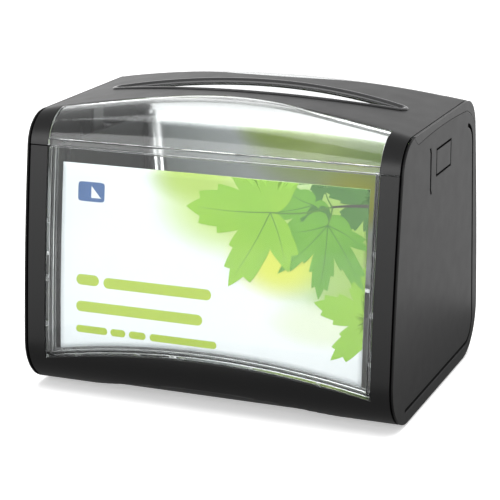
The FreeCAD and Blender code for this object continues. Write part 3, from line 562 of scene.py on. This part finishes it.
clear_visor = clear_plastic("clear_visor", 0.08)
for end, name in ((-1, "front"), (1, "rear")):
    visor = make_piece(f"{name}_visor_pane", *visor_slab(end), clear_visor)
    round_edges(visor, 0.3 * MM, 2, 40)
    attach(visor, "lid")
    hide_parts(f"{name}_visor")

# ---------------------------------------------------------------- windows
# Each window is a shallow tray of clear styrene: a slightly curved face, a rim round its sides and
# foot, and a ledge inside that the card rests on. It snaps into the frame with small tabs.
window_lift = 0.4 * MM
window_half = opening_half - window_lift
window_out = 0.6 * MM
window_back = 2.4 * MM
rim_wall = 1.8 * MM
rim_back = 6.5 * MM
top_clear = 0.5 * MM
window_top = seam_height - top_clear


def face_point(x, height, inset, end):
    """Point behind the front face by an inset at that height."""
    return np.stack([x, end * (face_at(height, 0.0) - inset), height + 0 * x], axis=-1)


def window_slab(end):
    """Tray: an even outer face, and an inner one that is deep along the sides and foot."""
    inside = window_half - rim_wall
    x_line = np.concatenate([
        [-window_half, -inside], inside * np.linspace(-1, 1, 101), [inside, window_half],
    ])
    foot = arch_at(x_line, window_lift)
    share = np.linspace(0, 1, 45)[:, None]
    pane = foot + rim_wall + share * (window_top - foot - rim_wall)
    height = np.concatenate([[foot, foot + rim_wall], pane])
    deep_row = np.arange(len(height)) < 2
    column = np.arange(len(x_line))
    deep_x = np.minimum(column, column[::-1]) < 2
    x = np.broadcast_to(x_line, height.shape)
    deep = deep_row[:, None] | deep_x[None, :]
    outer = face_point(x, height, window_out, end)
    inner = face_point(x, height, np.where(deep, rim_back, window_back), end)
    return closed_slab(outer, inner)


def ledge_slab(end):
    """Ledge ring: carried down one side, along the arched foot and up the other side."""
    outer_cut, inner_cut = rim_wall + 0.02 * MM, 3.3 * MM
    front, back = 5.3 * MM, 6.45 * MM
    across = np.linspace(-1, 1, 90)
    side = np.concatenate([np.full(30, -1.0), across, np.full(30, 1.0)])
    share = np.concatenate([np.linspace(1, 0, 30), np.zeros(90), np.linspace(0, 1, 30)])
    corners = []
    for cut, inset in ((outer_cut, front), (inner_cut, front), (inner_cut, back), (outer_cut, back)):
        x = side * (window_half - cut)
        foot = arch_at(x, window_lift + cut)
        corners.append(face_point(x, foot + share * (window_top - foot), inset, end))
    grid = np.stack([*corners, corners[0]], axis=1)
    points, faces = join_grids([grid])
    last = len(points) - 5
    caps = [(0, 1, 2, 3), (last, last + 1, last + 2, last + 3)]
    return points, [*faces, *caps]


def tab_slabs(end):
    """Snap tabs: small blocks that reach from the window's rim into the frame along its foot and sides."""
    tab_out, tab_back = 0.35 * MM, 2.3 * MM
    blocks = []
    for x in (-70, -36, -11, 26, 62):
        across, foot = x * MM + np.array([-1.3, 1.3]) * MM, arch_at(x * MM)
        blocks.append((across, foot + np.array([-0.1, 1.5]) * MM))
    for side in (-1, 1):
        for height in (38, 62, 92):
            across = side * (opening_half - np.array([1.5, -0.1]) * MM)
            blocks.append((np.sort(across), (height + np.array([-1.3, 1.3])) * MM))
    points, faces = [], []
    for across, upright in blocks:
        x, height = np.meshgrid(across, upright)
        slab = closed_slab(face_point(x, height, tab_out, end), face_point(x, height, tab_back, end))
        faces.extend(slab[1] + sum(len(part) for part in points))
        points.append(slab[0])
    return np.concatenate(points), faces


clear_window = clear_plastic("clear_window", 0.008)
clear_ledge = clear_plastic("clear_ledge", 0.06)
for end, name in ((-1, "front"), (1, "rear")):
    window = make_piece(f"{name}_window_tray", *window_slab(end), clear_window)
    round_edges(window, 0.35 * MM, 2, 40)
    ledge = make_piece(f"{name}_window_ledge", *ledge_slab(end), clear_ledge)
    round_edges(ledge, 0.2 * MM, 2, 40)
    tabs = make_piece(f"{name}_window_tabs", *tab_slabs(end), clear_ledge, smooth=False)
    for piece in (window, ledge, tabs):
        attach(piece, "housing")
    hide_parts(f"{name}_window")

# ---------------------------------------------------------------- carried-over parts
# Side panels, chassis, tray, guides, catches and buttons are moulded in the same black plastic; inside
# it is a shade lighter, for lack of grain. The screws and hinge pins are drawn steel, the feet rubber.
# Side panels and buttons carry painted shade deep in their grooves and gaps.
panel_black = black_plastic("panel_black", edge=0.8 * MM, groove_shade_depth=0.9 * MM)
inner_black = black_plastic("inner_black", colour=0.035, low=0.42, high=0.55, edge=0.4 * MM)
guide_grey = black_plastic("guide_grey", colour=0.03, low=0.3, high=0.45, edge=0.3 * MM)
button_black = black_plastic("button_black", edge=0.5 * MM, groove_shade_depth=0.9 * MM)

steel, tree, shader = new_material("drawn_steel")
shader.inputs["Metallic"].default_value = 1.0
tree.links.new(tint(tree, noise(tree, 300.0), (0.42, 0.42, 0.43), (0.6, 0.6, 0.6)),
               shader.inputs["Base Color"])
tree.links.new(ramp(tree, noise(tree, 900.0, 4.0), 0.2, 0.38), shader.inputs["Roughness"])

rubber, tree, shader = new_material("foot_rubber")
tree.links.new(tint(tree, noise(tree, 120.0), (0.012, 0.012, 0.012), (0.022, 0.022, 0.021)),
               shader.inputs["Base Color"])
tree.links.new(ramp(tree, noise(tree, 500.0), 0.7, 0.9), shader.inputs["Roughness"])
grain(tree, shader, noise(tree, 1500.0), 0.2, 0.0002, 0.4 * MM)

finishes = {
    "side_panel": panel_black, "chassis": inner_black, "napkin_tray": inner_black,
    "napkin_guide": guide_grey, "lid_catch": guide_grey, "release_button": button_black,
    "foot": rubber, "frame_screws": steel, "hinge_pin": steel,
}
for node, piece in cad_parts.items():
    for start, material in finishes.items():
        if node.startswith(start):
            piece.data.materials.clear()
            piece.data.materials.append(material)

# ---------------------------------------------------------------- button springs
# A coil spring of drawn steel wire stands between each release button and the inner wall. It pushes
# the button out.
spring_turns = 5


def tube(path, radius, sides=10):
    """Round tube along a path of points, with a ring across the path at each, closed by end caps."""
    along = np.gradient(path, axis=0)
    along /= np.linalg.norm(along, axis=1, keepdims=True)
    up = np.cross(along, [1.0, 0.02, 0.01])
    up /= np.linalg.norm(up, axis=1, keepdims=True)
    across = np.cross(along, up)
    turn = np.linspace(0, 2 * math.pi, sides, endpoint=False)
    round_it = np.cos(turn)[:, None] * up[:, None] + np.sin(turn)[:, None] * across[:, None]
    rings = path[:, None] + radius * round_it
    rings = np.concatenate([rings, rings[:, :1]], axis=1)
    points, faces = join_grids([rings])
    last = len(points) - sides - 1
    return points, [*faces, tuple(range(sides)), tuple(range(last, last + sides))]


for side, name in ((-1, "left"), (1, "right")):
    low, high = (Vector(corner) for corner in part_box(f"button_spring_{name}"))
    wire = 0.3 * MM
    middle_y, middle_z = (low.y + high.y) / 2, (low.z + high.z) / 2
    mean = (high.y - low.y) / 2 - wire
    turn = np.linspace(0, 2 * math.pi * spring_turns, 161)
    x = np.linspace(low.x + wire, high.x - wire, len(turn))
    coil = np.stack([x, middle_y + mean * np.cos(turn), middle_z + mean * np.sin(turn)], axis=-1)
    spring = make_piece(f"button_spring_{name}_wire", *tube(coil, wire), steel)
    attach(spring, "housing")
    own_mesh(spring)
    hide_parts(f"button_spring_{name}")

# ---------------------------------------------------------------- hinge knuckles
# Short barrels round each hinge pin, in the frame's black plastic: the outer two of a hinge are
# moulded on the rear frame, and the middle one on the lid.
pin_low, pin_high = (Vector(corner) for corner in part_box("hinge_pin_right"))
hinge_y, hinge_z = (pin_low.y + pin_high.y) / 2, (pin_low.z + pin_high.z) / 2
knuckle_radius, knuckle_play = 2.4 * MM, 0.3 * MM
outer_long = 2.4 * MM
spans = (
    ("inner", "housing", pin_low.x, pin_low.x + outer_long),
    ("middle", "lid", pin_low.x + outer_long + knuckle_play, pin_high.x - outer_long - knuckle_play),
    ("outer", "housing", pin_high.x - outer_long, pin_high.x),
)
for side, name in ((-1, "left"), (1, "right")):
    for place, body, start, stop in spans:
        line = np.array([[side * start, hinge_y, hinge_z], [side * stop, hinge_y, hinge_z]])
        knuckle = make_piece(f"knuckle_{name}_{place}", *tube(line, knuckle_radius, 28), frame_black)
        round_edges(knuckle, 0.3 * MM, 3)
        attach(knuckle, body)

# ---------------------------------------------------------------- printed cards
# A double-sided printed card stands in each window: white board with a soft blue shading, a spray of
# green leaves in its upper right, and three lines of plain words.
card_half = 82.5 * MM
card_top = 121.0 * MM
card_foot = 22.4 * MM
card_in = 6.55 * MM
card_thick = 0.4 * MM


def card_board(name, white, way):
    """White coated board: blue-white clouds, and a blurred yellow-green glow where the leaves are.

    The glow lies towards +X for a way of 1 and towards -X for -1.
    """
    material, tree, shader = new_material(name)
    links, nodes = tree.links, tree.nodes
    place = nodes.new("ShaderNodeTexCoord")
    axes = nodes.new("ShaderNodeSeparateXYZ")
    links.new(place.outputs["Object"], axes.inputs["Vector"])

    def spot(x, z, size_x, size_z):
        """Soft elliptical spot: one less the distance from its middle in its own sizes."""
        parts = []
        for output, middle, size in ((axes.outputs["X"], x, size_x), (axes.outputs["Z"], z, size_z)):
            shift = nodes.new("ShaderNodeMath")
            shift.operation = "SUBTRACT"
            shift.inputs[1].default_value = middle
            links.new(output, shift.inputs[0])
            scaled = nodes.new("ShaderNodeMath")
            scaled.operation = "DIVIDE"
            scaled.inputs[1].default_value = size
            links.new(shift.outputs[0], scaled.inputs[0])
            square = nodes.new("ShaderNodeMath")
            square.operation = "MULTIPLY"
            links.new(scaled.outputs[0], square.inputs[0])
            links.new(scaled.outputs[0], square.inputs[1])
            parts.append(square.outputs[0])
        total = nodes.new("ShaderNodeMath")
        total.operation = "ADD"
        links.new(parts[0], total.inputs[0])
        links.new(parts[1], total.inputs[1])
        soft = nodes.new("ShaderNodeMapRange")
        soft.interpolation_type = "SMOOTHSTEP"
        soft.inputs["From Min"].default_value, soft.inputs["From Max"].default_value = 0.0, 1.0
        soft.inputs["To Min"].default_value, soft.inputs["To Max"].default_value = 1.0, 0.0
        links.new(total.outputs[0], soft.inputs["Value"])
        return soft.outputs["Result"]

    def wash(colour_socket, factor, colour):
        """Lay a colour over the one so far by a factor."""
        mix = nodes.new("ShaderNodeMix")
        mix.data_type = "RGBA"
        mix.inputs["B"].default_value = (*colour, 1)
        links.new(factor, mix.inputs["Factor"])
        links.new(colour_socket, mix.inputs["A"])
        return mix.outputs["Result"]

    colour = tint(tree, noise(tree, 9.0, 2.0), (0.89 * white, 0.96 * white, white), (white,) * 3)
    washes = [
        ((0.012, 0.106, 0.050, 0.030), (0.62, 0.80, 0.24)),
        ((0.070, 0.098, 0.056, 0.054), (0.40, 0.62, 0.12)),
        ((0.036, 0.082, 0.030, 0.022), (0.76, 0.80, 0.08)),
        ((-0.010, 0.119, 0.030, 0.016), (0.48, 0.66, 0.12)),
        ((0.080, 0.062, 0.030, 0.022), (0.38, 0.58, 0.12)),
        ((0.060, 0.052, 0.034, 0.014), (0.86, 0.92, 0.72)),
    ]
    for (x, z, size_x, size_z), wash_colour in washes:
        colour = wash(colour, spot(way * x, z, size_x, size_z), [white * part for part in wash_colour])
    links.new(colour, shader.inputs["Base Color"])
    links.new(ramp(tree, noise(tree, 400.0), 0.45, 0.6), shader.inputs["Roughness"])
    grain(tree, shader, noise(tree, 1200.0, 3.0), 0.04, 0.00008)
    return material


def card_slab(end):
    """Thin board parallel to the window, its foot arched like the window's."""
    x_line = card_half * np.linspace(-1, 1, 61)
    foot = arch_at(x_line, card_foot - opening_foot)
    height = foot + np.linspace(0, 1, 30)[:, None] * (card_top - foot)
    x = np.broadcast_to(x_line, height.shape)
    outer = face_point(x, height, card_in, end)
    return closed_slab(outer, face_point(x, height, card_in + card_thick, end))


for end, name in ((-1, "front"), (1, "rear")):
    card_print = card_board(f"{name}_card_face", 0.80, -end)
    card_reverse = card_board(f"{name}_card_reverse", 0.95, end)
    card = make_piece(f"{name}_card_board", *card_slab(end), card_print)
    card.data.materials.append(card_reverse)
    facing = np.empty(3 * len(card.data.polygons), dtype=np.float32)
    card.data.polygons.foreach_get("normal", facing)
    inwards = facing.reshape(-1, 3)[:, 1] * end < -0.5
    card.data.polygons.foreach_set("material_index", inwards.astype(np.int32))
    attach(card, "housing")
    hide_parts(f"{name}_card")

# ---------------------------------------------------------------- card print
# Screen-printed ink on the card, each colour in a thin coat over the last: leaves and their twig, a
# small napkin sign, and plain bars in place of words.
coat = 0.012 * MM


def leaf_ink(name, dark, light):
    """Flat ink whose colour wanders between two greens, with a faint mottle like light on a leaf."""
    material, tree, shader = new_material(name)
    tree.links.new(tint(tree, noise(tree, 45.0, 3.0), dark, light), shader.inputs["Base Color"])
    tree.links.new(ramp(tree, noise(tree, 300.0), 0.45, 0.6), shader.inputs["Roughness"])
    return material


def on_card(x, height, layer, end):
    """Point of a print layer in front of the card, kept inside the card's edges."""
    x = np.clip(x, -card_half + 0.1 * MM, card_half - 0.1 * MM)
    height = np.clip(height, arch_at(x, card_foot - opening_foot) + 0.1 * MM, card_top - 0.1 * MM)
    return face_point(-end * x, height, card_in - (layer + 1) * coat, end)


def ink_patch(centre, edge_x, edge_z, layer, end):
    """Flat patch from a centre out to a closed edge, given from that centre."""
    share = np.linspace(0, 1, 6)[:, None]
    x, height = centre[0] * MM + share * edge_x, centre[1] * MM + share * edge_z
    return join_grids([on_card(x, height, layer, end)])


# Half the outline of a five-lobed leaf from its tip to its stalk: angle in degrees, then reach.
leaf_half = [
    (0, 1.0), (7, 0.84), (12, 0.87), (18, 0.66), (24, 0.68), (31, 0.43), (40, 0.62), (45, 0.60),
    (51, 0.83), (56, 0.80), (62, 0.98), (69, 0.79), (76, 0.82), (84, 0.58), (93, 0.40), (104, 0.54),
    (112, 0.68), (122, 0.52), (131, 0.55), (142, 0.34), (160, 0.16), (180, 0.05),
]


def leaf_edge(size, heading, spread):
    """Leaf's outline from its stalk: the half outline and its mirror image, teeth kept sharp."""
    angle, reach = np.array(leaf_half).T
    whole = np.concatenate([-angle[::-1], angle[1:]])
    whole = whole * np.where(np.abs(whole) < 150, spread, 1.0)
    order = np.argsort(whole)
    place = np.linspace(0, len(order) - 1, 4 * len(order) - 3)
    fine = np.interp(place, np.arange(len(order)), whole[order])
    both = np.concatenate([reach[::-1], reach[1:]])[order]
    both = np.interp(place, np.arange(len(order)), both)
    turn = np.radians(heading + fine)
    return both * size * MM * np.cos(turn), both * size * MM * np.sin(turn)


def stroke(start, stop, wide, thin, bend, layer, end):
    """Tapered line from a start to a stop that bows to one side by the bend."""
    share = np.linspace(0, 1, 13)
    first, last = np.array(start) * MM, np.array(stop) * MM
    along = last - first
    normal = np.array([-along[1], along[0]]) / np.hypot(*along)
    middle = first + share[:, None] * along + (bend * MM * np.sin(math.pi * share))[:, None] * normal
    half = (wide + (thin - wide) * share)[:, None] * MM / 2 * normal
    both = np.stack([middle - half, middle + half], axis=0)
    return join_grids([on_card(both[..., 0], both[..., 1], layer, end)])


def sheet_piece(name, points, faces, material, end):
    """A print layer: flat, facing out through the window."""
    piece = make_piece(name, points, faces, material)
    outward = sum(face.normal.y * face.area for face in piece.data.polygons)
    if outward * end < 0:
        piece.data.flip_normals()
    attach(piece, "housing")
    return piece


deep_green = leaf_ink("ink_deep_green", (0.035, 0.13, 0.02), (0.08, 0.23, 0.03))
mid_green = leaf_ink("ink_mid_green", (0.09, 0.28, 0.02), (0.17, 0.41, 0.03))
lime_green = leaf_ink("ink_lime_green", (0.19, 0.43, 0.02), (0.29, 0.51, 0.03))
vein_green = leaf_ink("ink_vein_green", (0.06, 0.16, 0.02), (0.11, 0.25, 0.03))
twig_brown = leaf_ink("ink_twig_brown", (0.04, 0.05, 0.03), (0.08, 0.07, 0.05))
word_lime = leaf_ink("ink_word_lime", (0.34, 0.46, 0.02), (0.38, 0.50, 0.03))
paper_white = leaf_ink("ink_paper_white", (0.72, 0.76, 0.80), (0.78, 0.80, 0.80))
sign_blue = leaf_ink("ink_sign_blue", (0.03, 0.09, 0.24), (0.04, 0.11, 0.28))

# Each leaf: where its stalk joins, size, heading in degrees, spread of its lobes, and ink.
leaves = [
    ((88, 58), 32, 170, 0.9, lime_green),
    ((58, 128), 17, -100, 0.9, deep_green),
    ((84, 117), 27, -135, 0.8, deep_green),
    ((54, 111), 29, -122, 0.72, mid_green),
    ((57, 108), 19, -84, 0.55, deep_green),
    ((62, 102), 37, -95, 0.62, mid_green),
    ((32, 105.5), 45, 181, 0.98, lime_green),
]
stalks = [((32, 105.5), (64, 111), 0.7, 0.8, 1.6), ((62, 102), (64, 111), 0.6, 0.7, 0.4),
          ((60, 118), (64, 111), 0.5, 0.7, 0.5)]
# Each bar: its middle, length and height.
words = [
    (-67.0, 61.5, 13.0, 5.6), (-28.0, 61.0, 60.0, 5.6), (-38.0, 47.5, 71.0, 5.6), (-64.5, 35.5, 18.0, 3.8),
    (-49.5, 35.5, 8.5, 3.8), (-38.5, 35.5, 9.5, 3.8), (-13.0, 35.5, 37.0, 3.8),
]
sign_middle, sign_half = (-66, 107), (7.5 * MM, 5.0 * MM)


def inside_card(point):
    """True for a point of the print, in millimetres, that lies on the card."""
    return abs(point[0]) < 82 and point[1] < 120


for end, name in ((-1, "front"), (1, "rear")):
    for number, (centre, size, heading, spread, ink) in enumerate(leaves):
        layer = 3 * number
        outline = leaf_edge(size, heading, spread)
        sheet_piece(f"{name}_leaf_{number}", *ink_patch(centre, *outline, layer, end), ink, end)
        for lobe, length in ((0, 0.86), (62, 0.82), (-62, 0.82), (112, 0.52), (-112, 0.52)):
            way = math.radians(heading + lobe * spread)
            tip = (centre[0] + length * size * math.cos(way), centre[1] + length * size * math.sin(way))
            if inside_card(tip) and inside_card(centre):
                vein = stroke(centre, tip, 0.55, 0.12, 0.8, layer + 1, end)
                vein_ink = vein_green if ink is lime_green else deep_green
                sheet_piece(f"{name}_vein_{number}_{lobe}", *vein, vein_ink, end)
    top = 3 * len(leaves)
    for number, (start, stop, wide, thin, bend) in enumerate(stalks):
        stalk = stroke(start, stop, wide, thin, -bend, top, end)
        sheet_piece(f"{name}_stalk_{number}", *stalk, vein_green, end)
    twig = stroke((64, 111), (82.4, 113), 0.9, 1.7, 0.3, top + 1, end)
    sheet_piece(f"{name}_twig", *twig, twig_brown, end)
    around = np.linspace(-math.pi, math.pi, 49)
    for number, (x, height, long, tall) in enumerate(words):
        edge_x = np.where(np.cos(around) >= 0, 1, -1) * (long - tall) / 2 + tall / 2 * np.cos(around)
        edge_z = tall / 2 * np.sin(around)
        sheet_piece(f"{name}_word_{number}", *ink_patch((x, height), edge_x * MM, edge_z * MM, 0, end),
                    word_lime, end)
    square_x = sign_half[0] * np.sign(np.cos(around)) * np.abs(np.cos(around)) ** 0.25
    square_z = sign_half[1] * np.sign(np.sin(around)) * np.abs(np.sin(around)) ** 0.25
    sheet_piece(f"{name}_sign", *ink_patch(sign_middle, square_x, square_z, 0, end), sign_blue, end)
    fold_x = np.array([[-66.0, -60.5], [-66.0, -60.5]]) * MM
    fold_z = np.array([[104.0, 104.0], [110.0, 104.0]]) * MM
    fold = on_card(fold_x, fold_z, 1, end)
    sheet_piece(f"{name}_sign_fold", *join_grids([fold]), paper_white, end)

# ---------------------------------------------------------------- studio
# A white floor under even light from a large dome, bright at the horizon and dark below, and a soft
# lamp over the front.
floor_mesh = bpy.data.meshes.new("floor")
floor_mesh.from_pydata([(-6, -6, 0), (6, -6, 0), (6, 6, 0), (-6, 6, 0)], [], [(0, 1, 2, 3)])
floor = bpy.data.objects.new("floor", floor_mesh)
bpy.context.scene.collection.objects.link(floor)
floor_white, tree, shader = new_material("floor_white")
shader.inputs["Base Color"].default_value = (0.93, 0.93, 0.93, 1)
shader.inputs["Roughness"].default_value = 0.9
shader.inputs["Specular IOR Level"].default_value = 0.0
shader.inputs["Emission Color"].default_value = (1, 1, 1, 1)
shader.inputs["Emission Strength"].default_value = 0.4
floor_mesh.materials.append(floor_white)
floor.visible_glossy = floor.visible_diffuse = False

# A dark cloth under the white sweep keeps light off the underside, as a dark table would. It glows
# faintly, a painted stand-in for the dim light such a table gives back, and is seen only in reflections
# and bounce light.
cloth_mesh = bpy.data.meshes.new("cloth")
cloth_mesh.from_pydata([(-0.17, -0.27, -0.001), (0.17, -0.27, -0.001), (0.17, 0.15, -0.001),
                        (-0.17, 0.15, -0.001)], [], [(0, 1, 2, 3)])
cloth = bpy.data.objects.new("cloth", cloth_mesh)
bpy.context.scene.collection.objects.link(cloth)
cloth_dark, tree, shader = new_material("cloth_dark")
shader.inputs["Base Color"].default_value = (0.01, 0.01, 0.01, 1)
shader.inputs["Roughness"].default_value = 1.0
shader.inputs["Emission Color"].default_value = (1, 1, 1, 1)
shader.inputs["Emission Strength"].default_value = 0.2
cloth_mesh.materials.append(cloth_dark)
cloth.visible_camera = cloth.visible_transmission = cloth.visible_shadow = False

world = bpy.data.worlds.new("dome")
world.use_nodes = True
bpy.context.scene.world = world
tree = world.node_tree
background = tree.nodes["Background"]
direction = tree.nodes.new("ShaderNodeTexCoord")
axes = tree.nodes.new("ShaderNodeSeparateXYZ")
tree.links.new(direction.outputs["Generated"], axes.inputs["Vector"])
dome = tree.nodes.new("ShaderNodeValToRGB")
stretch = tree.nodes.new("ShaderNodeMapRange")
stretch.inputs["From Min"].default_value, stretch.inputs["From Max"].default_value = -1.0, 1.0
tree.links.new(axes.outputs["Z"], stretch.inputs["Value"])
tree.links.new(stretch.outputs["Result"], dome.inputs["Fac"])
stops = ((0.0, 0.0), (0.2, 0.12), (0.35, 0.66), (0.45, 1.0), (0.56, 1.1), (0.66, 0.8), (0.8, 0.45),
         (1.0, 0.3))
while len(dome.color_ramp.elements) < len(stops):
    dome.color_ramp.elements.new(0.5)
for element, (place, level) in zip(dome.color_ramp.elements, stops):
    element.position = place
    element.color = (level, level, level, 1)
tree.links.new(dome.outputs["Color"], background.inputs["Color"])
background.inputs["Strength"].default_value = 1.0
white = tree.nodes.new("ShaderNodeBackground")
white.inputs["Color"].default_value = (1, 1, 1, 1)
white.inputs["Strength"].default_value = 1.1
rays = tree.nodes.new("ShaderNodeLightPath")
seen = tree.nodes.new("ShaderNodeMath")
seen.operation = "MAXIMUM"
tree.links.new(rays.outputs["Is Camera Ray"], seen.inputs[0])
tree.links.new(rays.outputs["Is Transmission Ray"], seen.inputs[1])
choose = tree.nodes.new("ShaderNodeMixShader")
tree.links.new(seen.outputs[0], choose.inputs["Fac"])
tree.links.new(background.outputs["Background"], choose.inputs[1])
tree.links.new(white.outputs["Background"], choose.inputs[2])
tree.links.new(choose.outputs["Shader"], tree.nodes["World Output"].inputs["Surface"])


def softbox(name, place, aim, width, height, power):
    """A rectangular lamp at a place, turned to an aim."""
    lamp = bpy.data.lights.new(name, "AREA")
    lamp.shape, lamp.size, lamp.size_y, lamp.energy = "RECTANGLE", width, height, power
    holder = bpy.data.objects.new(name, lamp)
    bpy.context.scene.collection.objects.link(holder)
    way = Vector(aim) - Vector(place)
    holder.matrix_world = Matrix.Translation(place) @ way.to_track_quat("-Z", "Y").to_matrix().to_4x4()
    return holder


softbox("front_box", (-0.5, -1.4, 0.7), (0, 0, 0.06), 1.4, 0.8, 7)
top_box = softbox("top_box", (0.1, -0.1, 1.7), (0, 0, 0.1), 1.8, 1.6, 32)
top_box.visible_glossy = False

# ---------------------------------------------------------------- camera
# A long lens, looking from a little to the right of the front and from above.
azimuth, elevation, roll = math.radians(22.2), math.radians(16.22), math.radians(-0.41)
aim = Vector((-4.09 * MM, 0, 65.93 * MM))
distance = 969.8 * MM
away = Vector((math.sin(azimuth) * math.cos(elevation), -math.cos(azimuth) * math.cos(elevation),
               math.sin(elevation)))
right = away.cross(Vector((0, 0, -1))).normalized()
up = away.cross(right)
across = math.cos(roll) * right + math.sin(roll) * up
upward = math.cos(roll) * up - math.sin(roll) * right
lens = bpy.data.cameras.new("camera")
lens.sensor_width, lens.lens = 36.0, 130.96
camera = bpy.data.objects.new("camera", lens)
bpy.context.scene.collection.objects.link(camera)
place = aim + away * distance
camera.matrix_world = Matrix.Translation(place) @ Matrix((across, upward, away)).transposed().to_4x4()
bpy.context.scene.camera = camera
bpy.context.scene.view_settings.view_transform = "Standard"
